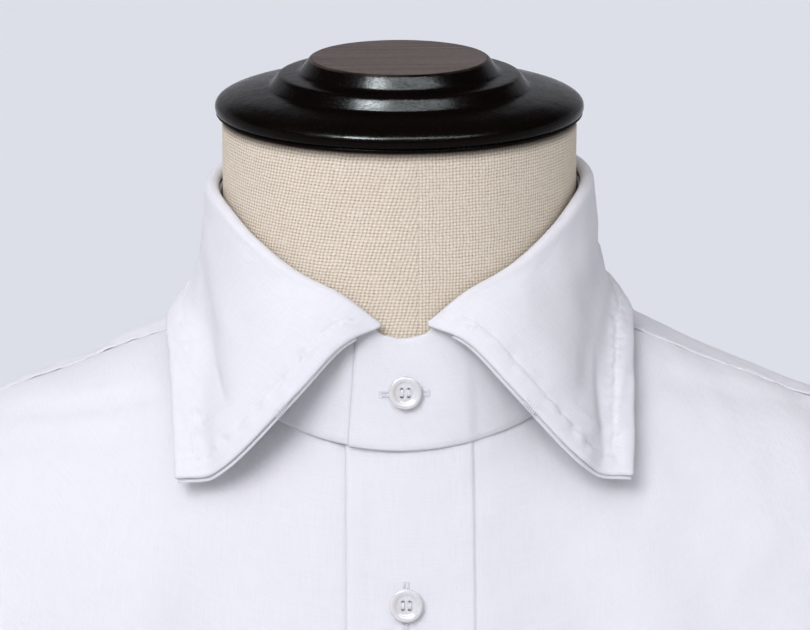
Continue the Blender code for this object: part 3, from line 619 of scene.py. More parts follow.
def sleeve_point(turn, place):
    """From the armhole, at -1, over the drooping shoulder to the hanging tube below 0."""
    turn, place = np.broadcast_arrays(np.asarray(turn, float), np.asarray(place, float))
    below = ease_between(180 - np.abs(turn - 180), 60, 150)
    start = armhole_point(turn, SEAM_GAP + SHIRTING * below)
    end = sleeve_ring(turn, np.zeros_like(turn))
    chord = np.linalg.norm(end - start, axis=-1, keepdims=True)
    out = HEAD_WAY * chord * HEAD_OUT
    down = -UPWARD * chord * HEAD_DOWN
    cap = smooth_way(np.clip(place + 1, 0, 1)[..., None], start, out, end, down)
    return np.where(place[..., None] < 0, cap, sleeve_ring(turn, np.clip(place, 0, None)))


def cuff_outward(points):
    """Unit vectors that point straight away from the cuff's middle."""
    return radial_of(points - np.array([SLEEVE_LEVELS[-1].x, SLEEVE_LEVELS[-1].y, 0]))


def cuff_shift(turn):
    """How far the cuff's ends part where they lap."""
    start = 1 - ease_between(turn - (CUFF_BUTTON_DEG - 360 - CUFF_OVERLAP_DEG), 0, CUFF_LAP_DEG)
    finish = 1 - ease_between(CUFF_BUTTON_DEG + CUFF_OVERLAP_DEG - turn, 0, CUFF_LAP_DEG)
    return (finish - start) * (STAND_PLY + LAYER_GAP) * CUFF_LAP_SHARE


# Cloth: grids of points on the middle surface of each piece

Cloth = namedtuple("Cloth", "grid normals across down thickness closed turned")


def run_lengths(grid, axis):
    """How far each point lies along its row or column."""
    steps = np.linalg.norm(np.diff(grid, axis=axis), axis=-1)
    start = np.zeros_like(np.take(steps, [0], axis=axis))
    return np.concatenate([start, np.cumsum(steps, axis=axis)], axis=axis)


def cloth_of(grid, inside, thickness, closed=False):
    """A piece of cloth, with normals that point away from a point inside what it is round."""
    ring = np.concatenate([grid, grid[:, :1]], axis=1) if closed else grid
    if closed:
        across = np.roll(grid, -1, axis=1) - np.roll(grid, 1, axis=1)
    else:
        across = np.gradient(grid, axis=1)
    normals = unit(np.cross(across, np.gradient(grid, axis=0)))
    turned = bool(np.sum(normals * (grid - np.array(inside))) < 0)
    if turned:
        normals = -normals
    down = run_lengths(ring, 0)
    return Cloth(grid, normals, run_lengths(ring, 1), down, thickness, closed, turned)


def raised(cloth, relief, inside):
    """The same cloth with its surface moved outwards by a relief."""
    grid = cloth.grid + cloth.normals * relief[..., None]
    return cloth_of(grid, inside, cloth.thickness, cloth.closed)


def new_object(name, data):
    """An object that is linked to the scene."""
    made = bpy.data.objects.new(name, data)
    bpy.context.scene.collection.objects.link(made)
    return made


def smooth_mesh(name, points, faces, material, uvs=None):
    """A smooth mesh; uvs holds one pair of weave lengths for each corner of each face."""
    mesh = bpy.data.meshes.new(name)
    mesh.from_pydata((points + FROM_FLOOR).tolist(), [], faces)
    if uvs is not None:
        layer = mesh.uv_layers.new(name="weave")
        layer.data.foreach_set("uv", np.ravel(uvs))
    mesh.materials.append(material)
    mesh.shade_smooth()
    return new_object(name, mesh)


def grid_corners(rows, columns, closed):
    """The row and column of each face's four corners; a tube's last column is its first again."""
    row, column = np.meshgrid(np.arange(rows - 1), np.arange(columns - (not closed)), indexing="ij")
    row, column = row.ravel(), column.ravel()
    corner_rows = np.stack([row, row, row + 1, row + 1], -1)
    corner_columns = np.stack([column, column + 1, column + 1, column], -1)
    return corner_rows, corner_columns


def from_sides(cloth):
    """How far each point lies from the nearer end of its row."""
    return np.minimum(cloth.across, cloth.across[:, [-1]] - cloth.across)


def border(rows, columns):
    """Rows and columns round the edge of an open grid, in order, without the last step back."""
    top = [(0, c) for c in range(columns)]
    right = [(r, columns - 1) for r in range(1, rows)]
    bottom = [(rows - 1, c) for c in range(columns - 2, -1, -1)]
    left = [(r, 0) for r in range(rows - 2, 0, -1)]
    return np.array(top + right + bottom + left)


def cloth_piece(name, cloth, material, straight=None):
    """The cloth as a wall with rounded edges; straight is the column along the grain."""
    rows, columns = cloth.grid.shape[:2]
    half = cloth.thickness / 2
    sides = [cloth.grid + cloth.normals * half, cloth.grid - cloth.normals * half]
    row, column = grid_corners(rows, columns, cloth.closed)
    ids = row * columns + column % columns
    middle = columns // 2 if straight is None else straight
    weave = np.stack([cloth.across - cloth.across[:, [middle]], -cloth.down], -1)
    uvs = [weave[row, column], weave[row, column][:, ::-1]]
    faces = [ids, ids[:, ::-1] + rows * columns]
    if cloth.closed:
        numbers = np.arange(columns)
        first_loop = np.stack([0 * numbers, numbers], -1)
        last_loop = np.stack([0 * numbers + rows - 1, numbers[::-1]], -1)
        loops = [first_loop, last_loop]
    else:
        loops = [border(rows, columns)]
    start = 2 * rows * columns
    for loop in loops:
        r, c = loop[:, 0], loop[:, 1]
        edge = cloth.grid[r, c]
        inner_column = c if cloth.closed else np.clip(c, 1, columns - 2)
        outwards = unit(edge - cloth.grid[np.clip(r, 1, rows - 2), inner_column])
        sides.append((edge + outwards * cloth.thickness * RIM)[None])
        rim = start + np.arange(len(loop))
        start += len(loop)
        outer, inner = r * columns + c, r * columns + c + rows * columns
        for first, second in ((outer, rim), (rim, inner)):
            faces.append(np.stack([np.roll(first, -1), first, second, np.roll(second, -1)], -1))
            at = weave[r, c]
            uvs.append(np.stack([np.roll(at, -1, 0), at, at, np.roll(at, -1, 0)], 1))
    faces = np.concatenate(faces)
    uvs = np.concatenate(uvs)
    if cloth.turned:
        faces, uvs = faces[:, ::-1], uvs[:, ::-1]
    points = np.concatenate([side.reshape(-1, 3) for side in sides])
    return smooth_mesh(name, points, faces.tolist(), material, uvs)


def on_cloth(cloth, rows, columns, lift=0.0):
    """Points of the cloth's outer side, and its normals, at fractions of rows and columns."""
    rows, columns = np.broadcast_arrays(np.asarray(rows, float), np.asarray(columns, float))
    r = np.clip(rows.astype(int), 0, cloth.grid.shape[0] - 2)
    c = np.clip(columns.astype(int), 0, cloth.grid.shape[1] - 2)
    down, over = (rows - r)[..., None], (columns - c)[..., None]

    def read(values):
        upper = values[r, c] * (1 - over) + values[r, c + 1] * over
        lower = values[r + 1, c] * (1 - over) + values[r + 1, c + 1] * over
        return upper * (1 - down) + lower * down

    normals = unit(read(cloth.normals))
    return read(cloth.grid) + normals * (cloth.thickness / 2 + lift), normals


def place_at(runs, distance, from_end):
    """Where each of the runs reaches a distance from its start or its end, in steps."""
    places = np.arange(runs.shape[1])
    reached = [run[-1] - distance if from_end else distance for run in runs]
    return np.array([np.interp(at, run, places) for at, run in zip(reached, runs)])


def row_at(cloth, distance, from_end=False):
    """For each column, the fraction of a row that lies this far from the first or last row."""
    return place_at(cloth.down[:, : cloth.grid.shape[1]].T, distance, from_end)


def column_at(cloth, distance, from_end=False):
    """For each row, the fraction of a column that lies this far from the first or last column."""
    return place_at(cloth.across, distance, from_end)


# Thread

# The rings of a bar of thread: their place, and their width and rise in thread radii
ThreadRing = namedtuple("ThreadRing", "place width rise")
THREAD_RINGS = (
    ThreadRing(0.00, 0.45, -0.70),
    ThreadRing(0.14, 0.92, 0.10),
    ThreadRing(0.50, 1.00, 0.45),
    ThreadRing(0.86, 0.92, 0.10),
    ThreadRing(1.00, 0.45, -0.70),
)
THREAD_SIDES = 6


def thread_bars(name, starts, ends, outward, material, radius=THREAD_RADIUS):
    """Short rounded bars of thread between starts and ends, joined in one mesh."""
    shares, swell, arch = np.array(THREAD_RINGS).T
    sides = THREAD_SIDES
    along_thread = ends - starts
    heading = unit(along_thread)
    side = unit(np.cross(heading, outward))
    up = np.cross(side, heading)
    centre = starts[:, None] + along_thread[:, None] * shares[:, None]
    centre = centre + up[:, None] * (arch * radius)[:, None]
    turn = np.arange(sides) * 2 * np.pi / sides
    round_it = side[:, None] * np.cos(turn)[:, None] + up[:, None] * np.sin(turn)[:, None]
    points = centre[:, :, None] + round_it[:, None] * (swell * radius)[:, None, None]
    ring = np.arange(sides)
    after = (ring + 1) % sides
    walls = []
    for near in range(0, (len(shares) - 1) * sides, sides):
        far = near + sides
        walls.append(np.stack([near + ring, near + after, far + after, far + ring], -1))
    walls = np.concatenate(walls)
    offsets = np.arange(len(starts)) * len(shares) * sides
    faces = (walls[None] + offsets[:, None, None]).reshape(-1, 4)[:, ::-1].tolist()
    first_cap, last_cap = ring, (len(shares) - 1) * sides + ring[::-1]
    for offset in offsets.tolist():
        faces.append((first_cap + offset).tolist())
        faces.append((last_cap + offset).tolist())
    return smooth_mesh(name, points.reshape(-1, 3), faces, material)


def stitches_along(points, normals, length=STITCH_LENGTH, gap=STITCH_GAP):
    """Starts, ends and outward directions of the stitches that follow a line of points."""
    run = run_lengths(points, 0)
    count = int((run[-1] + gap) // (length + gap))
    begin = np.arange(count) * (length + gap)

    def read(values, at):
        return np.stack([np.interp(at, run, values[:, i]) for i in range(3)], -1)

    return read(points, begin), read(points, begin + length), read(normals, begin + length / 2)


def sewn(name, lines, material, **stitch):
    """One mesh of stitches that follow several lines, each given as points and normals."""
    parts = [stitches_along(points, normals, **stitch) for points, normals in lines]
    starts, ends, outward = (np.concatenate(values) for values in zip(*parts))
    return thread_bars(name, starts, ends, outward, material)


# Relief of the cloth

# Lumps of the cloth: about how high and how wide they are, and the seed of their random places
Lumps = namedtuple("Lumps", "height size seed")
LEAF_RUMPLE = Lumps(0.00020, 0.022, 12)
STAND_RUMPLE = Lumps(0.00012, 0.020, 22)
BODY_RUMPLE = Lumps(0.00030, 0.028, 31)
BODY_WAVE = Lumps(0.00070, 0.085, 32)
PLACKET_RUMPLE = Lumps(0.00010, 0.020, 52)
YOKE_SEAM_RUMPLE = Lumps(0.00055, 0.018, 63)
YOKE_GATHERS = Lumps(0.00080, 0.016, 64)
BACK_GATHERS = Lumps(0.00030, 0.012, 73)
SLEEVE_RUMPLE = Lumps(0.00060, 0.030, 81)
CUFF_RUMPLE = Lumps(0.00025, 0.030, 92)
FORM_SEAM_WANDER = Lumps(0.00025, 0.012, 101)
FORM_SEAM_PINCH = Lumps(0.00016, 0.0035, 102)
WAVES = 10
WAVE_SUM = 3.2


def lumpy(lumps, first, second):
    """A smooth uneven height over two coordinates, to either side of zero."""
    random = np.random.default_rng(lumps.seed)
    total = np.zeros(np.broadcast(first, second).shape)
    for _ in range(WAVES):
        heading, start = random.uniform(0, 2 * np.pi, 2)
        waves = random.uniform(0.45, 1.25) / lumps.size
        total += np.sin(2 * np.pi * waves * (first * np.cos(heading) + second * np.sin(heading)) + start)
    return lumps.height * (total / WAVE_SUM)


Crease = namedtuple("Crease", "first second first_end second_end bow width depth")


def crease_relief(grid, surface, creases):
    """The relief of soft ridges and troughs that run between pairs of places on a surface."""
    relief = np.zeros(grid.shape[:2])
    share = np.linspace(0, 1, 60)
    fade = np.sin(np.pi * np.clip(share, 0.001, 0.999)) ** 0.7
    for crease in creases:
        first = crease.first + (crease.first_end - crease.first) * share
        first = first + crease.bow * np.sin(np.pi * share)
        second = crease.second + (crease.second_end - crease.second) * share
        line = surface(first, second)
        low, high = line.min(0) - 3 * crease.width, line.max(0) + 3 * crease.width
        near = np.all((grid > low) & (grid < high), axis=-1)
        apart = np.linalg.norm(grid[near][:, None] - line[None], axis=-1)
        nearest = apart.argmin(1)
        relief[near] += crease.depth * bump(apart.min(1), 0, crease.width) * fade[nearest]
    return relief


# Sewn margins: how far in they are stitched, how high they stand, how deep the stitches sink and
# how the cloth puckers beside them
Margin = namedtuple("Margin", "at puff groove pucker")
LEAF_MARGIN = Margin(COLLAR_TOPSTITCH, 0.00050, 0.00020, Lumps(0.00034, 0.006, 11))
STAND_MARGIN = Margin(EDGE_STITCH, 0.00006, 0.00010, Lumps(0.00013, 0.006, 21))
PLACKET_MARGIN = Margin(PLACKET_STITCH, 0.00016, 0.00014, Lumps(0.00012, 0.008, 51))
YOKE_MARGIN = Margin(EDGE_STITCH, 0.00008, 0.00012, Lumps(0.00024, 0.009, 61))
CUFF_MARGIN = Margin(CUFF_STITCH, 0.00020, 0.00014, Lumps(0.00014, 0.007, 91))
PUCKER_REACH = 0.0032
MARGIN_START = (-0.0006, 0.0014)
MARGIN_END = (-0.0004, 0.0008)
GROOVE_PLACE, GROOVE_WIDTH = 0.0003, 0.0008


def seam_relief(distance, margin, first, second):
    """Across a stitched margin: a flat raised strip, a groove at the stitches and puckers beside."""
    inside = 1 - ease_between(distance, margin.at + MARGIN_END[0], margin.at + MARGIN_END[1])
    puff = margin.puff * ease_between(distance, *MARGIN_START) * inside
    channel = -margin.groove * bump(distance, margin.at + GROOVE_PLACE, GROOVE_WIDTH)
    pucker = lumpy(margin.pucker, first, second)
    return puff + channel + pucker * bump(distance, margin.at, PUCKER_REACH)


# Materials

# Sockets of a node that mixes colours: its share, its two colours and what comes out
MIX_SHARE, MIX_FIRST, MIX_SECOND, MIX_OUT = 0, 6, 7, 2


def new_material(name):
    """A material, its node tree and its shader."""
    material = bpy.data.materials.new(name)
    material.use_nodes = True
    return material, material.node_tree, material.node_tree.nodes["Principled BSDF"]


def plug(tree, target, inputs):
    """Each input of a node is set to a value or linked from another node's output."""
    for socket, value in inputs.items():
        if isinstance(value, bpy.types.NodeSocket):
            tree.links.new(value, target.inputs[socket])
        else:
            target.inputs[socket].default_value = value


def node(tree, kind, inputs=None, **settings):
    """A new node with its settings and inputs."""
    new = tree.nodes.new(kind)
    for name, value in settings.items():
        setattr(new, name, value)
    plug(tree, new, inputs or {})
    return new


def coordinates(tree, kind):
    return node(tree, "ShaderNodeTexCoord").outputs[kind]


def axes(tree, vector):
    """The X, Y and Z of a vector."""
    return node(tree, "ShaderNodeSeparateXYZ", {0: vector}).outputs


def vector_outputs(tree, operation, inputs):
    return node(tree, "ShaderNodeVectorMath", inputs, operation=operation).outputs


def reckon(tree, operation, first, second=0.0):
    """The result of a sum on one or two values."""
    return node(tree, "ShaderNodeMath", {0: first, 1: second}, operation=operation).outputs[0]


def times(tree, first, second):
    return reckon(tree, "MULTIPLY", first, second)


def blend(tree, share, first, second, **settings):
    """A colour between two others, each given as three values or as another node's output."""
    first, second = ((*tone, 1) if isinstance(tone, tuple) else tone for tone in (first, second))
    inputs = {MIX_SHARE: share, MIX_FIRST: first, MIX_SECOND: second}
    return node(tree, "ShaderNodeMix", inputs, data_type="RGBA", **settings).outputs[MIX_OUT]


def grey_noise(tree, place, scale=1.0, detail=2.0):
    """Soft noise from 0 to 1."""
    inputs = {"Vector": place, "Scale": scale, "Detail": detail, "Roughness": 0.5}
    return node(tree, "ShaderNodeTexNoise", inputs).outputs[0]


def stretched(tree, place, scale):
    return node(tree, "ShaderNodeMapping", {"Vector": place, "Scale": scale}).outputs[0]


def ramp(tree, value, low, high):
    """0 where the value is below low, 1 above high."""
    inputs = {"Value": value, "From Min": low, "From Max": high}
    return node(tree, "ShaderNodeMapRange", inputs, clamp=True).outputs[0]


def spread(tree, value, low, high):
    """A value from 0 to 1 spread over the range between low and high."""
    inputs = {"Value": value, "To Min": low, "To Max": high}
    return node(tree, "ShaderNodeMapRange", inputs).outputs[0]


def add_bumps(tree, shader, *layers):
    """Bumps on top of one another, each given as a height and how high it is in metres."""
    normal = None
    for height, distance in layers:
        inputs = {"Height": height, "Distance": distance, "Strength": 1.0}
        if normal is not None:
            inputs["Normal"] = normal
        normal = node(tree, "ShaderNodeBump", inputs).outputs[0]
    plug(tree, shader, {"Normal": normal})


def weave_waves(tree, threads):
    """Sines across the upright and the level threads, from coordinates in threads."""
    parts = axes(tree, threads)
    return [reckon(tree, "SINE", times(tree, parts[i], np.pi)) for i in range(2)]


def slubbed_threads(tree, threads, fine, coarse, detail):
    """Uneven thickness along the level and along the upright threads, added up."""
    level = grey_noise(tree, stretched(tree, threads, (coarse, fine, 1)), detail=detail)
    upright = grey_noise(tree, stretched(tree, threads, (fine, coarse, 1)), detail=detail)
    return reckon(tree, "ADD", level, upright)


def cotton_material(name, colour, thread_pitch):
    """White shirting: a fine plain weave, faint slubs, soft rumples and a soft sheen."""
    material, tree, shader = new_material(name)
    weave = coordinates(tree, "UV")
    place = coordinates(tree, "Object")
    upright, level = weave_waves(tree, stretched(tree, weave, (1 / thread_pitch, 1 / thread_pitch, 1)))
    slubs = slubbed_threads(tree, weave, 2600, 90, 2.0)
    rumple = grey_noise(tree, place, 95.0, 3.0)
    cloud = grey_noise(tree, place, 16.0, 3.0)
    dimmed = tuple(tone * SLUB_SHADE for tone in colour)
    base = blend(tree, ramp(tree, slubs, 0.75, 1.25), dimmed, colour)
    tint = blend(tree, ramp(tree, cloud, 0.35, 0.7), COOL_TINT, NO_TINT)
    inputs = {
        "Base Color": blend(tree, 1.0, base, tint, blend_type="MULTIPLY"),
        "Roughness": spread(tree, cloud, 0.72, 0.86),
        "Sheen Weight": 0.05,
        "Sheen Roughness": 0.5,
        "Specular IOR Level": 0.3,
    }
    plug(tree, shader, inputs)
    add_bumps(tree, shader, (times(tree, upright, level), 0.00002), (slubs, 0.00008), (rumple, 0.00045))
    return material


def linen_material():
    """The form's linen: a plain weave of cream threads over small brown-grey gaps, a little uneven, and
    darkened at its top by painted shade under the cap.

    Its coordinates count threads: across the upright ones and down the level ones.
    """
    material, tree, shader = new_material("linen_weave")
    threads = coordinates(tree, "UV")
    wander = node(tree, "ShaderNodeTexNoise", {"Vector": threads, "Scale": 0.16, "Detail": 3.0}).outputs[1]
    centred = vector_outputs(tree, "SUBTRACT", {0: wander, 1: (0.5, 0.5, 0.5)})[0]
    pulled = vector_outputs(tree, "SCALE", {0: centred, "Scale": 1.1})[0]
    upright, level = weave_waves(tree, vector_outputs(tree, "ADD", {0: threads, 1: pulled})[0])
    upright_thread = reckon(tree, "ABSOLUTE", upright)
    level_thread = reckon(tree, "ABSOLUTE", level)
    knot = times(tree, upright_thread, level_thread)
    cover = reckon(tree, "MAXIMUM", upright_thread, level_thread)
    loose = ramp(tree, grey_noise(tree, threads, 0.55), 0.25, 0.60)
    gap = times(tree, ramp(tree, cover, 0.80, 0.30), loose)
    slub = slubbed_threads(tree, threads, 1.0, 0.12, 3.0)
    cloud = grey_noise(tree, threads, 0.045, 4.0)
    speck = ramp(tree, grey_noise(tree, threads, 0.75, 1.0), 0.74, 0.82)
    over = times(tree, times(tree, upright, level), 0.16)
    lit = reckon(tree, "ADD", ramp(tree, knot, 0.0, 1.0), over)
    tone = blend(tree, lit, LINEN_SHADE, LINEN_LIGHT)
    tone = blend(tree, times(tree, ramp(tree, slub, 0.95, 1.35), 0.6), tone, LINEN_SLUB)
    tone = blend(tree, times(tree, ramp(tree, cloud, 0.35, 0.75), 0.35), tone, LINEN_CLOUD)
    tone = blend(tree, gap, tone, LINEN_GAP)
    tone = blend(tree, times(tree, speck, 0.5), tone, LINEN_FLECK)
    # The neck's top turns dark brown towards the cap: painted shade under the cap's rim
    height = axes(tree, coordinates(tree, "Object"))[2]
    under_cap = ramp(tree, height, NECK_TOP - PAINTED_SHADE_DEPTH, NECK_TOP)
    painted_shade = times(tree, reckon(tree, "POWER", under_cap, 1.15), 1.25)
    inputs = {
        "Base Color": blend(tree, painted_shade, tone, NECK_PAINTED_SHADE),
        "Roughness": spread(tree, cloud, 0.8, 0.95),
        "Specular IOR Level": 0.2,
    }
    plug(tree, shader, inputs)
    add_bumps(tree, shader, (knot, 0.00016), (slub, 0.00010), (cloud, 0.0004))
    return material


def lacquer_material():
    """Black lacquer on turned wood: deep gloss, fine wear, a rubbed edge and a brushed matt top."""
    material, tree, shader = new_material("black_lacquer_turned")
    place = coordinates(tree, "Object")
    height = axes(tree, place)[2]
    reach = vector_outputs(tree, "LENGTH", {0: stretched(tree, place, (1, 1, 0))})[1]
    top = NECK_TOP + CAP_TOP
    inner = ramp(tree, reach, CAP_DISC_RADIUS, CAP_DISC_RADIUS - 0.0006)
    on_top = times(tree, ramp(tree, height, top - 0.0006, top - 0.0001), inner)
    brushed = grey_noise(tree, stretched(tree, place, (14, 420, 1)), detail=4.0)
    cloud = grey_noise(tree, place, 60.0, 4.0)
    dust = ramp(tree, grey_noise(tree, place, 1500.0), 0.70, 0.80)
    scratches = grey_noise(tree, stretched(tree, place, (700, 700, 1500)), detail=3.0)
    scratches = ramp(tree, scratches, 0.40, 0.70)
    lowest, highest = CAP_DISC_RADIUS - 0.0003, CAP_DISC_RADIUS + 0.0007
    past_inside = ramp(tree, reach, lowest, lowest + 0.0004)
    edge = times(tree, past_inside, ramp(tree, reach, highest, highest - 0.0004))
    near_top = ramp(tree, height, top - 0.0014, top - 0.0004)
    rubbed = times(tree, times(tree, edge, near_top), ramp(tree, cloud, 0.35, 0.6))
    matt = blend(tree, ramp(tree, brushed, 0.3, 0.7), CAP_TOP_DARK, CAP_TOP_LIGHT)
    tone = blend(tree, on_top, blend(tree, cloud, LACQUER_DEEP, LACQUER_WARM), matt)
    tone = blend(tree, rubbed, tone, RUBBED_EDGE)
    gloss = {0: on_top, 2: spread(tree, cloud, 0.13, 0.27), 3: CAP_TOP_ROUGHNESS}
    gloss = node(tree, "ShaderNodeMix", gloss, data_type="FLOAT").outputs[0]
    inputs = {
        "Base Color": blend(tree, times(tree, dust, 0.02), tone, DUST),
        "Roughness": reckon(tree, "ADD", gloss, times(tree, scratches, 0.09)),
        "Specular IOR Level": 0.07,
        "Specular Tint": (*LACQUER_TINT, 1),
    }
    plug(tree, shader, inputs)
    ripple = times(tree, on_top, brushed)
    add_bumps(tree, shader, (cloud, 0.00026), (scratches, 0.000015), (ripple, 0.00010))
    return material


def pearl_material():
    """Mother of pearl: milky, faintly banded and glossy."""
    material, tree, shader = new_material("pearl_shell")
    place = coordinates(tree, "Object")
    bands = grey_noise(tree, stretched(tree, place, (180, 420, 260)), detail=3.0)
    tone = blend(tree, ramp(tree, bands, 0.3, 0.7), PEARL_WARM, PEARL_COOL)
    cloud = ramp(tree, grey_noise(tree, place, 300.0), 0.4, 0.8)
    inputs = {
        "Base Color": blend(tree, cloud, tone, PEARL_ROSY),
        "Roughness": spread(tree, bands, 0.12, 0.26),
        "Coat Weight": 0.4,
        "Coat Roughness": 0.08,
    }
    plug(tree, shader, inputs)
    add_bumps(tree, shader, (bands, 0.00004))
    return material


def thread_material():
    """White sewing thread with a little fuzz."""
    material, tree, shader = new_material("white_thread")
    fuzz = grey_noise(tree, coordinates(tree, "Object"), 2600.0)
    tone = blend(tree, fuzz, THREAD_SHADE, THREAD_LIGHT)
    plug(tree, shader, {"Base Color": tone, "Roughness": spread(tree, fuzz, 0.55, 0.75)})
    add_bumps(tree, shader, (fuzz, 0.00005))
    return material


def floor_material():
    """A pale matt floor with faint clouds."""
    material, tree, shader = new_material("pale_floor")
    cloud = grey_noise(tree, coordinates(tree, "Object"), 0.8, 3.0)
    lighter = tuple(min(1.0, tone * FLOOR_CLOUD) for tone in FLOOR_TONE)
    tone = blend(tree, cloud, FLOOR_TONE, lighter)
    plug(tree, shader, {"Base Color": tone, "Roughness": 0.95, "Specular IOR Level": 0.0})
    return material


# Pieces

def dress(piece, slot, *nodes):
    """A finished piece rides on the body and stands for its CAD nodes; slot is not used."""
    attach(piece, "root")
    if nodes:
        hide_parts(*nodes)
    return piece


# Soft folds of the worn collar, between two places on the leaf, and their height
LEAF_CREASES = (
    Crease(-0.40, 0.58, -0.88, 0.70, 0.00, 0.0100, -0.0046),
    Crease(-0.52, 0.74, -0.88, 0.62, 0.00, 0.0050, -0.0010),
    Crease(-0.73, 0.64, -0.89, 0.59, 0.00, 0.0021, -0.0007),
    Crease(-0.56, 0.84, -0.90, 0.76, 0.00, 0.0042, 0.0007),
    Crease(-0.60, 0.50, -0.82, 0.46, 0.00, 0.0050, 0.0005),
    Crease(0.70, 0.68, 0.96, 0.84, 0.00, 0.0020, -0.0006),
    Crease(0.40, 0.56, 0.90, 0.66, 0.00, 0.0105, -0.0034),
    Crease(0.70, 0.60, 0.90, 0.59, 0.00, 0.0050, -0.0006),
    Crease(0.66, 0.80, 0.92, 0.88, 0.00, 0.0032, 0.0006),
    Crease(0.45, 0.30, 0.70, 0.34, 0.00, 0.0060, 0.0004),
    Crease(-0.25, 0.55, -0.05, 0.62, 0.03, 0.0060, -0.0007),
    Crease(0.08, 0.60, 0.30, 0.52, 0.02, 0.0070, -0.0006),
)


# Steps of the leaf's grid: over the roll, down the leaf, along its front half and its back half
ROLL_ROWS, LEAF_ROWS, LEAF_FRONT_COLUMNS, LEAF_BACK_COLUMNS = 9, 84, 105, 34
UNDER_LEAF_START, UNDER_LEAF_ROWS = 0.13, 34
DIMPLE, DIMPLE_WIDTH = 0.00010, 0.0010
RELIEF_START = (0.02, 0.12)
STRIP_START = (0.25, 0.45)
STRIP_CURL = 0.0012
STRIP_VALLEY = 0.0014
VALLEY_PLACE, VALLEY_WIDTH = 0.0040, 0.0045


def leaf_columns():
    """Places along the collar, closer together towards its front ends."""
    front = np.linspace(1.0, 0.5, LEAF_FRONT_COLUMNS)
    half = np.concatenate([front, np.linspace(0.5, 0.0, LEAF_BACK_COLUMNS)[1:]])
    return np.concatenate([-half, half[-2::-1]])


def edge_distances(cloth):
    """How far each point of the leaf lies from its outer edge and from its nearer front edge."""
    return cloth.down[-1] - cloth.down, from_sides(cloth)


def leaf_cloth():
    """The upper leaf, with its stitched margin and its soft folds."""
    drops = np.concatenate([np.linspace(-1, 0, ROLL_ROWS + 1)[:-1], np.linspace(0, 1, LEAF_ROWS)])
    place, drop = np.meshgrid(leaf_columns(), drops)
    cloth = cloth_of(leaf_surface(place, drop), COLLAR_INSIDE, COLLAR_PLY)
    outer, front = edge_distances(cloth)
    nearest = np.minimum(outer, front)
    along_edge = np.where(outer < front, cloth.across, cloth.down)
    pitch = STITCH_LENGTH + STITCH_GAP
    dimple = DIMPLE * bump(nearest, COLLAR_TOPSTITCH, DIMPLE_WIDTH) * np.cos(2 * np.pi * along_edge / pitch)
    falling = ease_between(drop, *RELIEF_START)
    relief = seam_relief(nearest, LEAF_MARGIN, cloth.across, cloth.down) + dimple
    relief += lumpy(LEAF_RUMPLE, cloth.across, cloth.down)
    relief += strip_relief(outer, place)
    relief = relief * falling + crease_relief(cloth.grid, leaf_surface, LEAF_CREASES)
    return raised(cloth, relief, COLLAR_INSIDE)


def strip_relief(outer, place):
    """The leaf's stitched outer strip curls up a little, beside a shallow valley."""
    curl = STRIP_CURL * np.clip(1 - outer / COLLAR_TOPSTITCH, 0, 1)
    valley = -STRIP_VALLEY * bump(outer, COLLAR_TOPSTITCH + VALLEY_PLACE, VALLEY_WIDTH)
    return (curl + valley) * ease_between(np.abs(place), *STRIP_START)


def leaf_stitch_line(leaf):
    """Points of the topstitching, from one fold end round the outer edge to the other."""
    outer, _ = edge_distances(leaf)
    rows, columns = np.arange(leaf.grid.shape[0]), np.arange(leaf.grid.shape[1])
    falling = (rows > ROLL_ROWS + 3) & (outer[:, 0] > COLLAR_TOPSTITCH)
    first_end = column_at(leaf, COLLAR_TOPSTITCH)[falling]
    last_end = column_at(leaf, COLLAR_TOPSTITCH, from_end=True)[falling]
    edge_row = row_at(leaf, COLLAR_TOPSTITCH, from_end=True)
    inner = (columns > first_end[-1]) & (columns < last_end[-1])
    path_rows = np.concatenate([rows[falling], edge_row[inner], rows[falling][::-1]])
    path_columns = np.concatenate([first_end, columns[inner], last_end[::-1]])
    return on_cloth(leaf, path_rows, path_columns, THREAD_SINK)


def bar_tacks(leaf, thread):
    """A few close stitches over both plies, half way down each front edge."""
    middle_row = TACK_DROP * (LEAF_ROWS - 1) + ROLL_ROWS
    rows = middle_row + np.linspace(-TACK_ROWS, TACK_ROWS, TACK_STITCHES)
    last = leaf.grid.shape[1] - 1
    starts, ends, outward = [], [], []
    for column, beside in ((0, 1), (last, last - 1)):
        edge, normal = on_cloth(leaf, rows, column, TACK_LIFT)
        out = unit(edge - on_cloth(leaf, rows, beside, TACK_LIFT)[0])
        starts.append(edge - out * TACK_INSIDE)
        ends.append(edge + out * TACK_PAST - normal * TACK_DIP)
        outward.append(normal)
    starts, ends, outward = (np.concatenate(values) for values in (starts, ends, outward))
    return thread_bars("collar_bar_tacks", starts, ends, outward, thread, radius=TACK_RADIUS)


def build_collar(white, thread):
    """The upper leaf, the under collar inside it and their topstitching."""
    leaf = leaf_cloth()
    upper = cloth_piece("collar_leaf_cloth", leaf, white)
    place, drop = np.meshgrid(leaf_columns(), np.linspace(UNDER_LEAF_START, 1, UNDER_LEAF_ROWS))
    grid = leaf_surface(place, drop) - leaf_normals(place, drop) * (COLLAR_PLY + UNDER_GAP)
    grid[:, [0, -1]] += UNDER_LEAF_LIP * unit(grid[:, [0, -1]] - grid[:, [1, -2]])
    under = cloth_of(grid, COLLAR_INSIDE, COLLAR_PLY)
    strip = strip_relief(edge_distances(under)[0], place)
    under = raised(under, crease_relief(grid, leaf_surface, LEAF_CREASES) + strip, COLLAR_INSIDE)
    lower = cloth_piece("under_collar_cloth", under, white)
    seam = sewn("collar_topstitching", [leaf_stitch_line(leaf)], thread)
    dress(bar_tacks(leaf, thread), "white_cotton")
    dress(upper, "white_cotton", "collar_leaf")
    dress(lower, "white_cotton", "under_collar")
    dress(seam, "white_cotton")


STAND_COLUMNS, STAND_ROWS = 300, 24


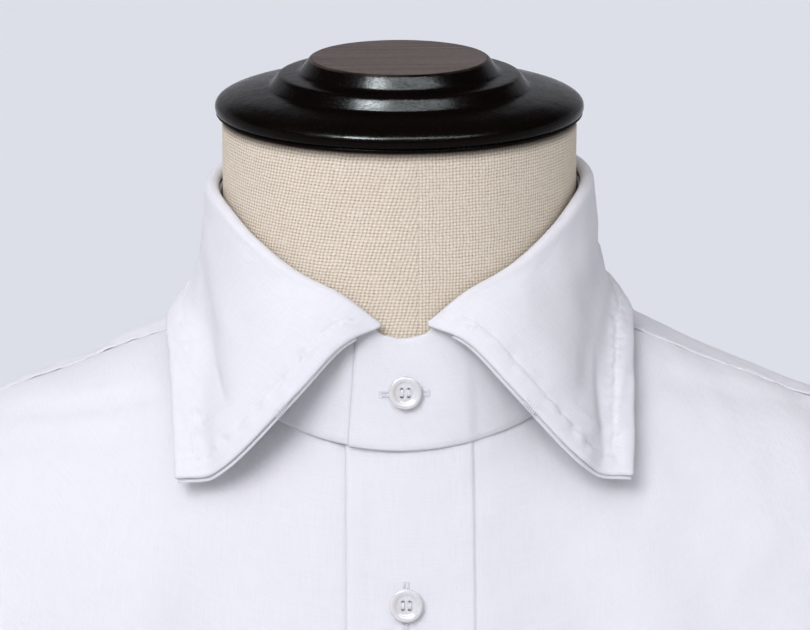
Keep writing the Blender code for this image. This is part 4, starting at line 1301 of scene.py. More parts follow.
def stand_cloth():
    """The band round the neck, whose ends lap at the front and have rounded upper corners."""
    end = STAND_OVERLAP_DEG
    turn, up = np.meshgrid(np.linspace(-end, 360 + end, STAND_COLUMNS), np.linspace(0, 1, STAND_ROWS))
    grid = stand_surface(turn, up)
    grid = grid + radial_of(grid) * stand_shift(turn, up)[..., None]
    from_end = np.radians(np.minimum(turn[0] + end, 360 + end - turn[0])) * STAND_TOP_RADIUS
    fall = STAND_CORNER * (1 - np.sqrt(1 - np.clip(1 - from_end / STAND_CORNER, 0, 1) ** 2))
    foot, top = grid[0], grid[-1]
    height = np.linalg.norm(top - foot, axis=-1)
    kept = (1 - fall / height)[None, :, None]
    grid = foot + (grid - foot) * kept
    cloth = cloth_of(worn_tilt(grid), COLLAR_INSIDE, STAND_PLY)
    relief = seam_relief(cloth.down, STAND_MARGIN, cloth.across, cloth.down)
    relief += lumpy(STAND_RUMPLE, cloth.across, cloth.down)
    return raised(cloth, relief, COLLAR_INSIDE)


def build_stand(white, thread):
    """The collar stand and the stitches along its foot."""
    stand = stand_cloth()
    piece = cloth_piece("collar_stand_cloth", stand, white)
    seam = sewn("collar_stand_stitching", [level_line(stand, EDGE_STITCH, False, 4)], thread)
    dress(piece, "white_cotton", "collar_stand")
    dress(seam, "white_cotton")
    return stand


# Creases of the worn shirt's body, between two angles and levels
BODY_CREASES = (
    Crease(-106, 0.80, -100, 2.45, 0.0, 0.0170, -0.0026),
    Crease(-84, 1.90, -66, 0.50, 0.0, 0.0055, -0.0018),
    Crease(-78, 1.90, -60, 0.75, 0.0, 0.0090, -0.0016),
    Crease(-80, 1.60, -70, 0.62, -1.5, 0.0032, 0.0007),
    Crease(71, 0.50, 86, 1.95, 0.0, 0.0085, -0.0013),
    Crease(78, 0.80, 90, 2.10, 0.0, 0.0060, 0.0008),
    Crease(-19.5, 0.20, -15.5, 1.60, 0.0, 0.0060, -0.0007),
    Crease(-50, 1.20, -44, 3.60, 3.0, 0.0110, 0.0023),
    Crease(-36, 0.90, -30, 4.20, -2.0, 0.0130, -0.0020),
    Crease(33, 0.80, 25, 4.40, 2.0, 0.0130, -0.0024),
    Crease(48, 1.10, 42, 3.90, -2.0, 0.0120, 0.0021),
    Crease(62, 2.00, 56, 4.30, 2.0, 0.0110, -0.0024),
    Crease(-64, 2.10, -57, 4.40, -2.0, 0.0110, -0.0026),
    Crease(70, 2.60, 58, 4.90, -3.0, 0.0090, 0.0029),
    Crease(-72, 2.50, -60, 4.90, 3.0, 0.0090, 0.0027),
    Crease(150, 2.00, 140, 4.60, 3.0, 0.0130, -0.0024),
    Crease(-148, 2.10, -142, 4.70, -3.0, 0.0130, -0.0022),
    Crease(112, 1.60, 124, 3.10, 0.0, 0.0100, -0.0017),
    Crease(-110, 1.50, -122, 3.20, 0.0, 0.0100, -0.0019),
    Crease(166, 3.50, 158, 7.60, 3.0, 0.0120, 0.0029),
    Crease(-164, 3.60, -158, 7.70, -3.0, 0.0120, -0.0024),
    Crease(20, 5.20, 28, 7.60, 2.0, 0.0120, 0.0025),
    Crease(-22, 5.40, -30, 7.60, -2.0, 0.0120, -0.0020),
    Crease(64, 5.20, 40, 6.30, 0.0, 0.0090, -0.0024),
    Crease(-66, 5.20, -42, 6.50, 0.0, 0.0090, -0.0026),
    Crease(70, 5.60, 48, 6.90, 0.0, 0.0080, 0.0023),
    Crease(-72, 5.70, -50, 7.00, 0.0, 0.0080, 0.0025),
    Crease(116, 5.10, 138, 6.40, 0.0, 0.0090, -0.0026),
    Crease(-114, 5.20, -136, 6.30, 0.0, 0.0090, -0.0024),
)


# Steps of the body's grids: down the shoulder, the armhole and the side, and across each panel
FRONT_ROWS = (86, 52, 74)
PLACKET_STEPS, FRONT_STEPS = 37, 76
YOKE_ROWS = (74, 18)
YOKE_STEPS = 181
BACK_ROWS = (44, 72)
BACK_STEPS = 141

# Where the front's columns run beside the placket's folded edge
PLACKET_LAST = 0.0206
PLACKET_COLUMNS = (0.0213, 0.0218, 0.0222, 0.0227, 0.0234)


def body_surface(angle, level):
    """The worn body without its relief."""
    return worn_tilt(body_point(angle, level))


def seam_angle(level, side):
    """Where the yoke's front edge lies: the worn -X seam sits back, and both end at the shoulder."""
    seam = SHOULDER_SEAM_DEG + (90 - SHOULDER_SEAM_DEG) * ease_between(level, SEAM_STRAIGHT_FROM, SHOULDER)
    set_back = WORN_SEAM_DEG * bump(level, WORN_SEAM_LEVEL, WORN_SEAM_REACH)
    return seam + (set_back if side < 0 else 0.0)


def armhole_rows(first, last, steps):
    """Levels between two places of the armhole, closer together where its edge turns."""
    places = (ARMHOLE_MIDDLE - np.array([first, last])) / ARMHOLE_REACH
    low, high = np.arccos(np.clip(places, -1, 1))
    return ARMHOLE_MIDDLE - ARMHOLE_REACH * np.cos(np.linspace(low, high, steps))


def body_relief(cloth, level, from_side):
    """Rumples and creases that run on over the seams, and lie flat where the sleeve is sewn on."""
    across = cloth.grid[..., 0] + 0.6 * cloth.grid[..., 1]
    down = cloth.grid[..., 2] - 0.5 * cloth.grid[..., 1]
    rumple = lumpy(BODY_RUMPLE, across, down) + lumpy(BODY_WAVE, across, down)
    relief = rumple + crease_relief(cloth.grid, body_surface, BODY_CREASES)
    beside_sleeve = ease_between(level, 2.6, SHOULDER) * (1 - ease_between(level, ARMPIT, 5.4))
    return relief * (1 - beside_sleeve * (1 - ease_between(from_side, 0.0, FLAT_BESIDE_SEAM)))


def front_cloth(side):
    """A front, from its edge at the overlap to the shoulder seam, armhole and side seam."""
    shoulder_rows, sleeve_rows, side_rows = FRONT_ROWS
    levels = np.concatenate(
        [
            np.linspace(0, SHOULDER, shoulder_rows)[:-1],
            armhole_rows(SHOULDER, ARMPIT, sleeve_rows),
            np.linspace(ARMPIT, HEM, side_rows)[1:],
        ]
    )
    placket = np.linspace(-FRONT_OVERLAP, PLACKET_LAST, PLACKET_STEPS)
    placket = np.concatenate([placket, PLACKET_COLUMNS])
    shares = np.linspace(0, 1, FRONT_STEPS)[1:]
    rows = []
    across = []
    for level in levels:
        inside_armhole = SHOULDER < level < ARMPIT
        finish = panel_side(level, ARMHOLE_FRONT_DEG) if inside_armhole else seam_angle(level, side)
        if level >= ARMPIT:
            finish = 90.0
        finish = finish - gap_angle(SEAM_GAP / 2, level)
        near = overlap_angle(level, placket)
        rows.append(np.concatenate([near, near[-1] + (finish - near[-1]) * shares]))
        across.append(np.sin(np.radians(rows[-1])) * along(LEVELS, "front_depth", level))
    angle = np.array(rows)
    across = np.array(across)
    level = np.repeat(levels[:, None], angle.shape[1], axis=1)
    lift = front_lift(across) if side > 0 else 0 * across
    grid = mirrored(body_point(angle, level, lift), side)
    cloth = cloth_of(worn_tilt(grid), BODY_INSIDE, SHIRTING)
    relief = body_relief(cloth, level, cloth.across[:, [-1]] - cloth.across)
    from_edge = across + FRONT_OVERLAP
    to_strip = PLACKET_EDGE - across
    if side > 0:
        relief = relief * ease_between(across, 0.005, 0.06)
        inside_strip = np.minimum(from_edge, np.where(to_strip > 0, to_strip, 1.0))
        relief += seam_relief(inside_strip, PLACKET_MARGIN, cloth.down, cloth.across)
        relief += lumpy(PLACKET_RUMPLE, cloth.down, cloth.across)
    else:
        relief = relief * ease_between(across, 0.02, 0.07)
    relief = relief * ease_between(cloth.down, 0.0, FLAT_BESIDE_SEAM)
    return raised(cloth, relief, BODY_INSIDE), across


def line_at(cloth, values, value, lift=THREAD_SINK):
    """The line down a cloth on which a measure that grows along its rows has a value."""
    columns = np.array([np.interp(value, row, np.arange(len(row))) for row in values])
    return on_cloth(cloth, np.arange(len(columns)), columns, lift)


def level_line(cloth, distance, from_end, margin):
    """The line across a cloth at a distance from its first or last row, short of its sides."""
    columns = np.arange(margin, cloth.grid.shape[1] - margin)
    return on_cloth(cloth, row_at(cloth, distance, from_end)[columns], columns, THREAD_SINK)


def build_fronts(white, thread):
    """Both fronts; the left one has the placket and lies over the other."""
    made = {}
    for name, side in SIDES:
        cloth, across = front_cloth(side)
        piece = cloth_piece(f"front_{name}_cloth", cloth, white, straight=0)
        lines = [level_line(cloth, HEM_STITCH, True, 1)]
        if side > 0:
            lines.append(line_at(cloth, across, PLACKET_STITCH - FRONT_OVERLAP))
            lines.append(line_at(cloth, across, PLACKET_EDGE - PLACKET_STITCH))
        seam = sewn(f"front_{name}_stitching", lines, thread)
        dress(piece, "white_cotton", f"front_{name}")
        dress(seam, "white_cotton")
        made[name] = (cloth, across)
    return made


def yoke_cloth():
    """The yoke over both shoulders, lapped over the fronts and the back and gathered at -X."""
    levels = np.concatenate(
        [
            np.linspace(0, SHOULDER, YOKE_ROWS[0])[:-1],
            armhole_rows(SHOULDER, YOKE_SEAM_LEVEL, YOKE_ROWS[1])[2:],
            [YOKE_SEAM_LEVEL + 0.5 * YOKE_LAP_LEVELS, YOKE_SEAM_LEVEL + YOKE_LAP_LEVELS],
        ]
    )
    width = np.linspace(-1, 1, YOKE_STEPS)
    width = np.sign(width) * (1 - (1 - np.abs(width)) ** 1.35)
    rows = []
    for level in levels:
        starts = [seam_angle(level, side) - gap_angle(SEAM_LAP, level) for side in (1, -1)]
        if level > SHOULDER:
            starts = [90 + armhole_angle(level, ARMHOLE_BACK_DEG)] * 2
        rows.append(180 + width * (180 - np.where(width < 0, *starts)))
    angle = np.array(rows)
    level = np.repeat(levels[:, None], angle.shape[1], axis=1)
    flat = cloth_of(body_point(angle, level), BODY_INSIDE, SHIRTING)
    from_front = from_sides(flat)
    over_front = from_front + FAR_OFF * ease_between(level, SHOULDER - LAP_RELEASE, SHOULDER)
    nearest = np.minimum(over_front, flat.down[-1] - flat.down)
    lift = SHIRTING * PRESSED_LAP * (1 - ease_between(nearest, SEAM_LAP, LAP_END))
    cloth = cloth_of(worn_tilt(body_point(angle, level, lift)), BODY_INSIDE, SHIRTING)
    relief = seam_relief(nearest, YOKE_MARGIN, cloth.across * 0.5, cloth.down)
    beside_seam = bump(nearest, SEAM_RUMPLE_PLACE, SEAM_RUMPLE_WIDTH)
    relief += lumpy(YOKE_SEAM_RUMPLE, cloth.down, 0 * cloth.down) * beside_seam
    gathered = np.where(width > 0, GATHER_HEIGHT + lumpy(YOKE_GATHERS, cloth.down, 0 * cloth.down), 0)
    gathered = gathered * bump(from_front, GATHER_PLACE, GATHER_WIDTH)
    relief += gathered * bump(level, GATHER_LEVEL, GATHER_LEVEL)
    relief += body_relief(cloth, level, from_front)
    relief = relief * ease_between(cloth.down, 0.0, 0.010)
    return raised(cloth, relief, BODY_INSIDE), level


def build_yoke(white, thread):
    """The yoke and the stitches along its three seams."""
    yoke, level = yoke_cloth()
    piece = cloth_piece("yoke_cloth", yoke, white)
    on_shoulder = np.flatnonzero(level[:, 0] < SHOULDER)
    lines = []
    for from_end in (False, True):
        columns = column_at(yoke, EDGE_STITCH, from_end)[on_shoulder]
        lines.append(on_cloth(yoke, on_shoulder, columns, THREAD_SINK))
    lines.append(level_line(yoke, EDGE_STITCH, True, 2))
    seam = sewn("yoke_stitching", lines, thread)
    dress(piece, "white_cotton", "yoke")
    dress(seam, "white_cotton")


def build_back(white, thread):
    """The back, gathered a little under the yoke's seam."""
    levels = np.concatenate(
        [
            [YOKE_SEAM_LEVEL - 0.005],
            armhole_rows(YOKE_SEAM_LEVEL + 0.01, ARMPIT, BACK_ROWS[0]),
            np.linspace(ARMPIT, HEM, BACK_ROWS[1])[1:],
        ]
    )
    rows = []
    for level in levels:
        start = 180 - panel_side(level, ARMHOLE_BACK_DEG) + gap_angle(SEAM_GAP / 2, level)
        rows.append(180 + np.linspace(-1, 1, BACK_STEPS) * (180 - start))
    angle = np.array(rows)
    level = np.repeat(levels[:, None], angle.shape[1], axis=1)
    cloth = cloth_of(body_point(angle, level), BODY_INSIDE, SHIRTING)
    relief = body_relief(cloth, level, from_sides(cloth))
    beside_seam = bump(cloth.down, SEAM_RUMPLE_PLACE, SEAM_RUMPLE_WIDTH)
    relief += lumpy(BACK_GATHERS, cloth.across, cloth.down * 0.4) * beside_seam
    cloth = raised(cloth, relief, BODY_INSIDE)
    piece = cloth_piece("back_cloth", cloth, white)
    seam = sewn("back_stitching", [level_line(cloth, HEM_STITCH, True, 1)], thread)
    dress(piece, "white_cotton", "back")
    dress(seam, "white_cotton")


# Creases of the empty sleeves, between two turns and places
SLEEVE_CREASES = (
    Crease(20, -0.75, 60, 0.10, 0.0, 0.0090, -0.0030),
    Crease(-25, -0.70, -60, 0.15, 0.0, 0.0100, -0.0032),
    Crease(60, -0.60, 120, 0.20, 0.0, 0.0090, 0.0022),
    Crease(0, -0.55, 10, 0.90, 6.0, 0.0120, 0.0024),
    Crease(-60, -0.50, -130, 0.25, 0.0, 0.0090, 0.0022),
    Crease(120, -0.30, 60, 0.80, 0.0, 0.0080, -0.0030),
    Crease(40, 0.55, 130, 0.95, 0.0, 0.0070, -0.0035),
    Crease(30, 0.80, 140, 1.15, 0.0, 0.0070, 0.0026),
    Crease(10, 1.00, 150, 1.35, 0.0, 0.0065, -0.0030),
    Crease(-20, 0.60, -110, 1.10, 0.0, 0.0070, -0.0030),
    Crease(-10, 0.90, -120, 1.30, 0.0, 0.0070, 0.0024),
    Crease(170, 0.40, 230, 1.20, 0.0, 0.0090, -0.0028),
    Crease(20, 1.30, 35, 2.90, 5.0, 0.0100, -0.0028),
    Crease(-40, 1.40, -25, 2.95, -4.0, 0.0100, 0.0024),
    Crease(70, 1.60, 58, 3.05, 4.0, 0.0085, 0.0022),
    Crease(180, 1.20, 200, 3.05, 6.0, 0.0100, -0.0026),
    Crease(-70, 2.20, -64, 3.20, 0.0, 0.0050, -0.0026),
    Crease(-84, 2.20, -80, 3.20, 0.0, 0.0050, 0.0018),
    Crease(100, 2.30, 96, 3.20, 0.0, 0.0050, -0.0024),
)


SLEEVE_TURNS, SLEEVE_CAP_ROWS, SLEEVE_ROWS = 100, 46, 100
GATHER_WAVES, GATHER_WAVE_HEIGHT = 17, 0.00035
CUFF_COLUMNS, CUFF_ROWS = 150, 26


def build_sleeve(name, side, white):
    """A sleeve that hangs empty, creased at the elbow and gathered into its cuff."""
    places = np.concatenate([np.linspace(-1, 0, SLEEVE_CAP_ROWS)[:-1], np.linspace(0, WRIST, SLEEVE_ROWS)])
    turn, place = np.meshgrid(np.arange(SLEEVE_TURNS) * 360 / SLEEVE_TURNS, places)
    cloth = cloth_of(sleeve_point(turn, place), SLEEVE_INSIDE, SHIRTING, closed=True)
    relief = crease_relief(cloth.grid, sleeve_point, SLEEVE_CREASES)
    rumple = lumpy(SLEEVE_RUMPLE, cloth.grid[..., 1], cloth.grid[..., 2])
    gathers = GATHER_WAVE_HEIGHT * np.sin(np.radians(turn * GATHER_WAVES)) * bump(place, WRIST, 0.16)
    hold = ease_between(place, -1.0, -0.90) * (1 - ease_between(place, WRIST - 0.03, WRIST))
    grid = cloth.grid + cloth.normals * ((relief + rumple) * hold + gathers)[..., None]
    inside = mirrored(np.array(SLEEVE_INSIDE), side)
    cloth = cloth_of(mirrored(grid, side), inside, SHIRTING, closed=True)
    piece = cloth_piece(f"sleeve_{name}_cloth", cloth, white, straight=0)
    dress(piece, "white_cotton", f"sleeve_{name}")


def build_cuff(name, side, white, thread):
    """A cuff round the sleeve's end, whose ends lap and are buttoned."""
    lap = CUFF_OVERLAP_DEG
    turns = np.linspace(CUFF_BUTTON_DEG - 360 - lap, CUFF_BUTTON_DEG + lap, CUFF_COLUMNS)
    turn, height = np.meshgrid(turns, np.linspace(CUFF_TOP + 0.0015, CUFF_BOTTOM, CUFF_ROWS))
    grid = sleeve_ring(turn, np.full(turn.shape, WRIST), CUFF_EASE)
    grid[..., 2] = height
    grid = grid + cuff_outward(grid) * cuff_shift(turn)[..., None]
    inside = (SLEEVE_LEVELS[-1].x * side, SLEEVE_LEVELS[-1].y, -0.75)
    cloth = cloth_of(mirrored(grid, side), inside, STAND_PLY)
    nearest = np.minimum(cloth.down[-1] - cloth.down, from_sides(cloth))
    relief = seam_relief(nearest, CUFF_MARGIN, cloth.across, cloth.down)
    relief += lumpy(CUFF_RUMPLE, cloth.across, cloth.down)
    cloth = raised(cloth, relief, inside)
    piece = cloth_piece(f"cuff_{name}_cloth", cloth, white)
    upper = level_line(cloth, EDGE_STITCH, False, 6)
    lower = level_line(cloth, CUFF_STITCH, True, 6)
    seam = sewn(f"cuff_{name}_stitching", [upper, lower], thread)
    dress(piece, "white_cotton", f"cuff_{name}")
    dress(seam, "white_cotton")


def turned_piece(name, profile, steps, material):
    """A turned piece with smooth sides, through rings of radius and height from its top down."""
    rings = np.array(profile, float)
    turn = np.arange(steps) * 2 * np.pi / steps
    points = np.stack(
        [rings[:, [0]] * np.cos(turn), rings[:, [0]] * np.sin(turn), rings[:, [1]] + 0 * turn], -1
    )
    row, column = grid_corners(len(rings), steps, True)
    faces = (row * steps + column % steps)[:, ::-1].tolist()
    faces.append(list(range(steps)))
    faces.append(list(range(len(rings) * steps - 1, (len(rings) - 1) * steps - 1, -1)))
    return smooth_mesh(name, points.reshape(-1, 3), faces, material)


def smooth_profile(corners, steps):
    """Rings along a smooth curve through the corners of a profile, from one end to the other."""
    table = [ProfilePoint(*corner) for corner in corners]
    place = np.linspace(0, len(table) - 1, steps)
    return np.stack([along(table, "radius", place), along(table, "height", place)], -1)


def rounded_profile(corners, rounding, steps=5):
    """Rings along straight stretches between corners that are rounded off."""
    corners = np.array(corners, float)
    rings = [corners[0]]
    share = np.linspace(0, 1, steps)[:, None]
    for before, corner, after in zip(corners[:-2], corners[1:-1], corners[2:]):
        back, ahead = before - corner, after - corner
        cut = min(rounding, np.linalg.norm(back) * 0.45, np.linalg.norm(ahead) * 0.45)
        start = corner + back / np.linalg.norm(back) * cut
        end = corner + ahead / np.linalg.norm(ahead) * cut
        rings.extend(start * (1 - share) ** 2 + 2 * corner * share * (1 - share) + end * share**2)
    rings.append(corners[-1])
    return np.array(rings)


def build_cap_and_stand(lacquer):
    """The turned cap on the neck, and the pole and base that carry the form."""
    top = FORM_BOTTOM - POLE_GAP
    foot = BASE_HEIGHT - NECK_TOP + POLE_GAP
    pole = (
        (0.001, top), (0.062, top), (0.062, top - 0.005), (0.058, top - 0.010), (0.030, top - 0.013),
        (0.022, top - 0.017), (POLE_RADIUS, top - 0.028), (POLE_RADIUS, foot + 0.026),
        (0.022, foot + 0.012), (0.034, foot + 0.006), (0.038, foot + 0.004), (0.038, foot), (0.001, foot),
    )
    radius, height, low = BASE_RADIUS, BASE_HEIGHT - NECK_TOP, -NECK_TOP
    base = (
        (0.001, height), (radius * 0.64, height), (radius * 0.66, height - 0.004),
        (radius * 0.88, height - 0.008), (radius * 0.90, height - 0.013), (radius, height - 0.017),
        (radius, low + 0.002), (radius - 0.002, low), (0.001, low),
    )
    for name, profile, steps in (
        ("neck_cap", smooth_profile(CAP_PROFILE, CAP_RINGS), 200),
        ("form_pole", rounded_profile(pole, TURNED_ROUNDING), 72),
        ("form_base", rounded_profile(base, TURNED_ROUNDING), 160),
    ):
        dress(turned_piece(f"{name}_lacquered", profile, steps, lacquer), "black_lacquer", name)


def form_rings(angles):
    """The form's rings from the neck's top to its underside, as in the part's source."""
    rows = []
    sine, cosine = np.sin(np.radians(angles)), np.cos(np.radians(angles))
    base = body_point(angles, np.zeros(len(angles)), 0.0, folds=0.0)
    for share in NECK_SHARES:
        height = (base[:, 2] + NECK_FOOT_RISE) * share
        rows.append(np.stack([NECK_RADIUS * sine, -NECK_RADIUS * cosine, height], -1))
    for level in FORM_LEVELS:
        inside = -(float(along(LEVELS, "ease", level)) + CLOTH / 2)
        rows.append(body_point(angles, np.full(len(angles), level), inside, folds=0.0))
    hip = rows[-1]
    for share, height in FORM_FOOT:
        foot = hip * np.array([share, share, 0])
        foot[:, 2] = FORM_BOTTOM + height
        rows.append(foot)
    return np.array(rows)


def build_form(linen):
    """The linen form, with the seam down its neck and the thread counts on either side of it."""
    seam = FORM_SEAM_DEG
    fine = np.linspace(0, 1, 13) ** 1.4 * 6.0
    coarse = np.linspace(6.0, 354.0, 160)[1:-1]
    angles = seam + np.concatenate([fine, coarse, 360 - fine[:0:-1]])
    rings = form_rings(angles)
    place = np.linspace(0, len(rings) - 1, FORM_RINGS)
    row = np.minimum(place.astype(int), len(rings) - 2)
    part = (place - row)[:, None, None]
    grid = rings[row] * (1 - part) + rings[row + 1] * part
    for _ in range(2):
        grid[1:-4] = (grid[:-5] + 2 * grid[1:-4] + grid[2:-3]) / 4
    apart = (angles - seam + 180) % 360 - 180
    heights = grid[:, :1, 2]
    wander = lumpy(FORM_SEAM_WANDER, heights, 0 * heights)
    pinch = FORM_SEAM_DEPTH + lumpy(FORM_SEAM_PINCH, heights, 0 * heights)
    groove = pinch * bump(np.radians(apart) * NECK_RADIUS, wander, FORM_SEAM_WIDTH)
    grid = grid - radial_of(grid) * groove[..., None]
    rows, columns = grid.shape[:2]
    ring = np.concatenate([grid, grid[:, :1]], axis=1)
    across, down = run_lengths(ring, 1), run_lengths(ring, 0)
    start = across[:, [0]]
    right = (across - start) / LINEN_PITCH_RIGHT
    left = (across - across[:, [-1]]) / LINEN_PITCH_LEFT
    half = np.arange(columns + 1) > columns // 2
    u = np.where(half, left, right)
    u = u + np.where(half, LINEN_SKEW * down / LINEN_PITCH_LEVEL, 0)
    weave = np.stack([u, -down / LINEN_PITCH_LEVEL], -1)
    row, column = grid_corners(rows, columns, True)
    faces = (row * columns + column % columns).tolist()
    uvs = weave[row, column].reshape(-1, 2).tolist()
    for cap in (list(range(columns))[::-1], [(rows - 1) * columns + i for i in range(columns)]):
        faces.append(cap)
        uvs.extend([tuple(point[:2] / LINEN_PITCH_LEVEL) for point in grid.reshape(-1, 3)[cap]])
    piece = smooth_mesh("form_torso_linen", grid.reshape(-1, 3), faces, linen, uvs)
    dress(piece, "linen", "form_torso")


# Buttons

def button_mesh(pearl):
    """One four-hole button, facing +Z with its back at zero."""
    radius, thick = BUTTON_RADIUS, BUTTON_THICKNESS
    profile = (
        (0.0002, thick - 0.0008), (radius * 0.58, thick - 0.0008), (radius * 0.72, thick),
        (radius * 0.92, thick), (radius, thick - 0.0009), (radius * 0.88, 0.0003),
        (radius * 0.70, 0.0), (0.0002, 0.0),
    )
    body = turned_piece("button_body", rounded_profile(profile, 0.0005, 4), 48, pearl)
    hole = BUTTON_HOLE_RADIUS
    drill = ((0.0001, 0.004), (hole, 0.004), (hole, -0.002), (0.0001, -0.002))
    cutters = []
    for turn in np.radians([45, 135, 225, 315]):
        cutter = turned_piece("drill", drill, 14, pearl)
        cutter.location = (BUTTON_HOLE_REACH * np.cos(turn), BUTTON_HOLE_REACH * np.sin(turn), 0)
        cutters.append(cutter)
        cut = body.modifiers.new("Hole", "BOOLEAN")
        cut.operation = "DIFFERENCE"
        cut.object = cutter
        cut.solver = "EXACT"
    bpy.context.view_layer.update()
    graph = bpy.context.evaluated_depsgraph_get()
    mesh = bpy.data.meshes.new_from_object(body.evaluated_get(graph))
    mesh.name = "button"
    mesh.transform(Matrix.Translation((0, 0, -NECK_TOP)))
    mesh.shade_smooth()
    mesh.set_sharp_from_angle(angle=np.radians(48))
    for used in [body, *cutters]:
        bpy.data.objects.remove(used)
    return mesh


def placed(across, up, outward, point):
    """A matrix that puts an object's axes along these directions at a point."""
    place = np.eye(4)
    place[:3, 0], place[:3, 1], place[:3, 2], place[:3, 3] = across, up, outward, point
    return place


def facing(point, outward, upright):
    """A matrix that puts a button's face outwards at a point, with its top towards upright."""
    outward = unit(outward)
    across = unit(np.cross(upright, outward))
    return placed(across, np.cross(outward, across), outward, point + FROM_FLOOR)


def place_button(name, mesh, place, thread):
    """A button and the two pairs of threads through its holes."""
    button = new_object(f"{name}_pearl", mesh)
    button.matrix_world = Matrix(place.tolist())
    reach = BUTTON_HOLE_REACH * np.sin(np.radians(45))
    height = BUTTON_THICKNESS - BUTTON_THREAD_SINK
    starts, ends = [], []
    for x in (-reach, reach):
        for shift in (-BUTTON_THREAD_SHIFT, BUTTON_THREAD_SHIFT):
            starts.append((x + shift, -reach * BUTTON_THREAD_REACH, height))
            ends.append((x + shift, reach * BUTTON_THREAD_REACH, height))
    local = np.array([starts, ends])
    world = local @ place[:3, :3].T + place[:3, 3] - FROM_FLOOR
    outward = np.repeat(place[None, :3, 2], len(starts), axis=0)
    tied = thread_bars(f"{name}_thread", world[0], world[1], outward, thread, radius=BUTTON_THREAD_RADIUS)
    dress(button, "pearl_button", name)
    dress(tied, "white_cotton")


def buttonhole(name, place, long_way, thread, length=BUTTONHOLE_LENGTH):
    """Close whipped stitches round a buttonhole, whose slit runs along a direction."""
    outward = place[:3, 2]
    centre = place[:3, 3] - FROM_FLOOR
    along_slit = unit(long_way - outward * np.dot(long_way, outward))
    beside = np.cross(outward, along_slit)
    starts, ends = [], []
    for side in (-1, 1):
        for step in np.linspace(-length / 2, length / 2, BUTTONHOLE_STITCHES):
            starts.append(centre + along_slit * step + beside * side * BUTTONHOLE_SLIT)
            ends.append(centre + along_slit * step + beside * side * BUTTONHOLE_WIDTH)
    for end in (-1, 1):
        for shift in np.linspace(-BUTTONHOLE_END_WIDTH, BUTTONHOLE_END_WIDTH, BUTTONHOLE_END_STITCHES):
            starts.append(centre + along_slit * end * length / 2 + beside * shift)
            ends.append(centre + along_slit * end * (length / 2 + BUTTONHOLE_END_LENGTH) + beside * shift)
    outwards = np.repeat(outward[None], len(starts), axis=0)
    radius = BUTTONHOLE_THREAD_RADIUS
    dress(thread_bars(name, np.array(starts), np.array(ends), outwards, thread, radius), "white_cotton")


def surface_place(cloth, row, column, out=0.0):
    """A matrix that lays something upright on a place of a cloth."""
    point, outward = on_cloth(cloth, row, column, out)
    return facing(point, outward, UPWARD)


def build_buttons(front, stand, pearl, thread):
    """All buttons with their threads, and all buttonholes."""
    mesh = button_mesh(pearl)
    cloth, across = front
    centre_columns = np.array([np.interp(0.0, row, np.arange(len(row))) for row in across])
    line, _ = on_cloth(cloth, np.arange(len(centre_columns)), centre_columns)
    for i in range(FRONT_BUTTONS):
        height = FRONT_BUTTON_FIRST - i * FRONT_BUTTON_SPACING
        row = np.interp(-height, -line[:, 2], np.arange(len(line)))
        column = np.interp(row, np.arange(len(line)), centre_columns)
        place_button(f"front_button_{i + 1}", mesh, surface_place(cloth, row, column, BUTTON_GAP), thread)
        lie = surface_place(cloth, row, column)
        buttonhole(f"front_buttonhole_{i + 1}", lie, lie[:3, 1], thread)
    over = np.linspace(-STAND_OVERLAP_DEG, 360 + STAND_OVERLAP_DEG, stand.grid.shape[1])
    column = np.interp(0.0, over, np.arange(len(over)))
    heights = np.array([on_cloth(stand, row, column)[0][2] for row in range(stand.grid.shape[0])])
    row = np.interp(COLLAR_BUTTON_HEIGHT, heights, np.arange(len(heights)))
    place_button("collar_button", mesh, surface_place(stand, row, column, BUTTON_GAP), thread)
    lie = surface_place(stand, row, column)
    buttonhole("collar_buttonhole", lie, lie[:3, 0], thread, COLLAR_BUTTONHOLE_LENGTH)
    turn = np.array(CUFF_BUTTON_DEG)
    ring = sleeve_ring(turn, np.array(WRIST), CUFF_EASE)
    tangent = sleeve_ring(turn + 1, np.array(WRIST), CUFF_EASE) - ring
    square = unit(np.array([tangent[1], -tangent[0], 0]))
    square *= np.sign(np.dot(square, cuff_outward(ring)))
    point = ring + cuff_outward(ring) * cuff_shift(turn) + square * (STAND_PLY / 2 + CUFF_BUTTON_GAP)
    point[2] = (CUFF_TOP + CUFF_BOTTOM) / 2
    for name, side in SIDES:
        place = facing(mirrored(point, side), mirrored(square, side), UPWARD)
        place_button(f"cuff_button_{name}", mesh, place, thread)
        buttonhole(f"cuff_buttonhole_{name}", place, place[:3, 0], thread)


# Floor, light and camera

def build_floor():
    """A flat floor that reaches past the frame."""
    half = FLOOR_SIZE / 2
    corners = [(-half, -half, 0), (half, -half, 0), (half, half, 0), (-half, half, 0)]
    mesh = bpy.data.meshes.new("floor")
    mesh.from_pydata(corners, [], [(0, 1, 2, 3)])
    mesh.materials.append(floor_material())
    floor = new_object("floor", mesh)


def aimed(kind, name, place, target):
    """A light at a place, turned to face a target."""
    lamp = new_object(name, bpy.data.lights.new(name, kind))
    away = unit(np.array(place, float) - np.array(target, float))
    across = unit(np.cross([0, 0.01, 1.0], away))
    lamp.matrix_world = Matrix(placed(across, np.cross(away, across), away, place).tolist())
    return lamp


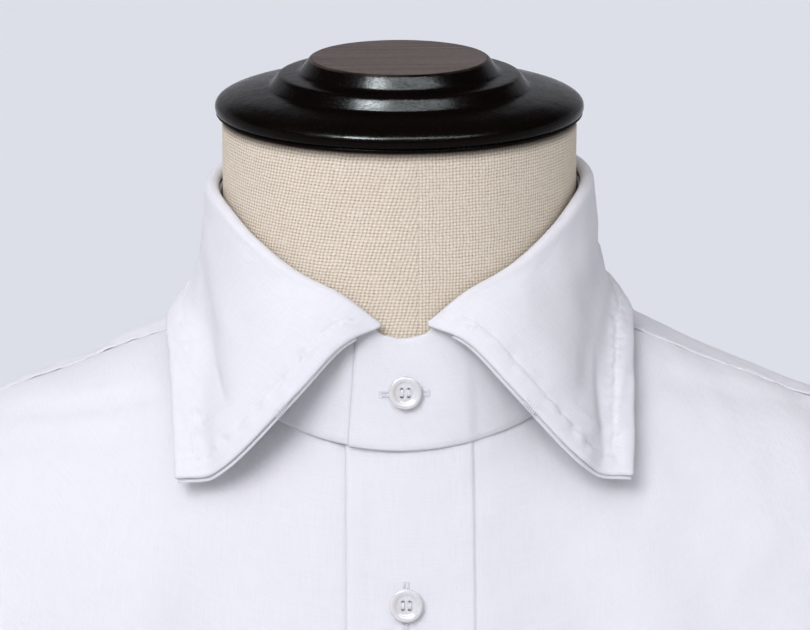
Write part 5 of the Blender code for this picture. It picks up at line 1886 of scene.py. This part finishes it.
def build_light():
    """Soft suns that glossy surfaces don't mirror, lamps that only they mirror, and a dim room."""
    for row in SUNS:
        sun = aimed("SUN", row.name, row.place, (0, 0, 0))
        sun.visible_glossy = False
        sun.data.energy = row.strength
        sun.data.angle = np.radians(row.spread)
        sun.data.color = LIGHT_TONE
    for row in GLEAMS:
        lamp = aimed("AREA", row.name, FROM_FLOOR + row.place, FROM_FLOOR)
        lamp.visible_diffuse = False
        lamp.data.energy = row.energy
        lamp.data.shape = "RECTANGLE"
        lamp.data.size, lamp.data.size_y = row.width, GLEAM_DEPTH
        lamp.data.color = GLEAM_TONE
    world = bpy.data.worlds.new("studio")
    bpy.context.scene.world = world
    world.use_nodes = True
    tree = world.node_tree
    parts = axes(tree, coordinates(tree, "Generated"))
    overhead = ramp(tree, parts[2], 0.30, 0.42)
    beside = ramp(tree, parts[1], -0.95, -0.25)
    tone = blend(tree, overhead, blend(tree, beside, FRONT_TONE, HORIZON_TONE), OVERHEAD_TONE)
    plug(tree, tree.nodes["Background"], {"Color": tone})


def build_camera():
    """The camera of the photograph, in front, a little above and slightly to the viewer's left."""
    tilt, turn = np.radians(CAMERA_ELEVATION), np.radians(CAMERA_AZIMUTH)
    back = np.array([np.sin(turn) * np.cos(tilt), -np.cos(turn) * np.cos(tilt), np.sin(tilt)])
    right = unit(np.cross(-back, UPWARD))
    target = UPWARD * (NECK_TOP + CAMERA_AIM) + right * CAMERA_SIDE
    data = bpy.data.cameras.new("camera")
    data.lens = CAMERA_LENS
    data.sensor_width = CAMERA_SENSOR
    camera = new_object("camera", data)
    place = placed(right, np.cross(right, -back), back, target + back * CAMERA_DISTANCE)
    camera.matrix_world = Matrix(place.tolist())
    bpy.context.scene.camera = camera


def main():
    scene = bpy.context.scene
    scene.view_settings.view_transform = "Standard"
    scene.view_settings.look = "None"
    build_camera()
    white = cotton_material("white_shirting", SHIRT_TONE, SHIRTING_PITCH)
    thread = thread_material()
    pearl = pearl_material()
    build_form(linen_material())
    build_cap_and_stand(lacquer_material())
    stand = build_stand(white, thread)
    build_collar(white, thread)
    fronts = build_fronts(white, thread)
    build_yoke(white, thread)
    build_back(white, thread)
    for name, side in SIDES:
        build_sleeve(name, side, white)
        build_cuff(name, side, white, thread)
    build_buttons(fronts["left"], stand, pearl, thread)
    build_floor()
    build_light()


main()
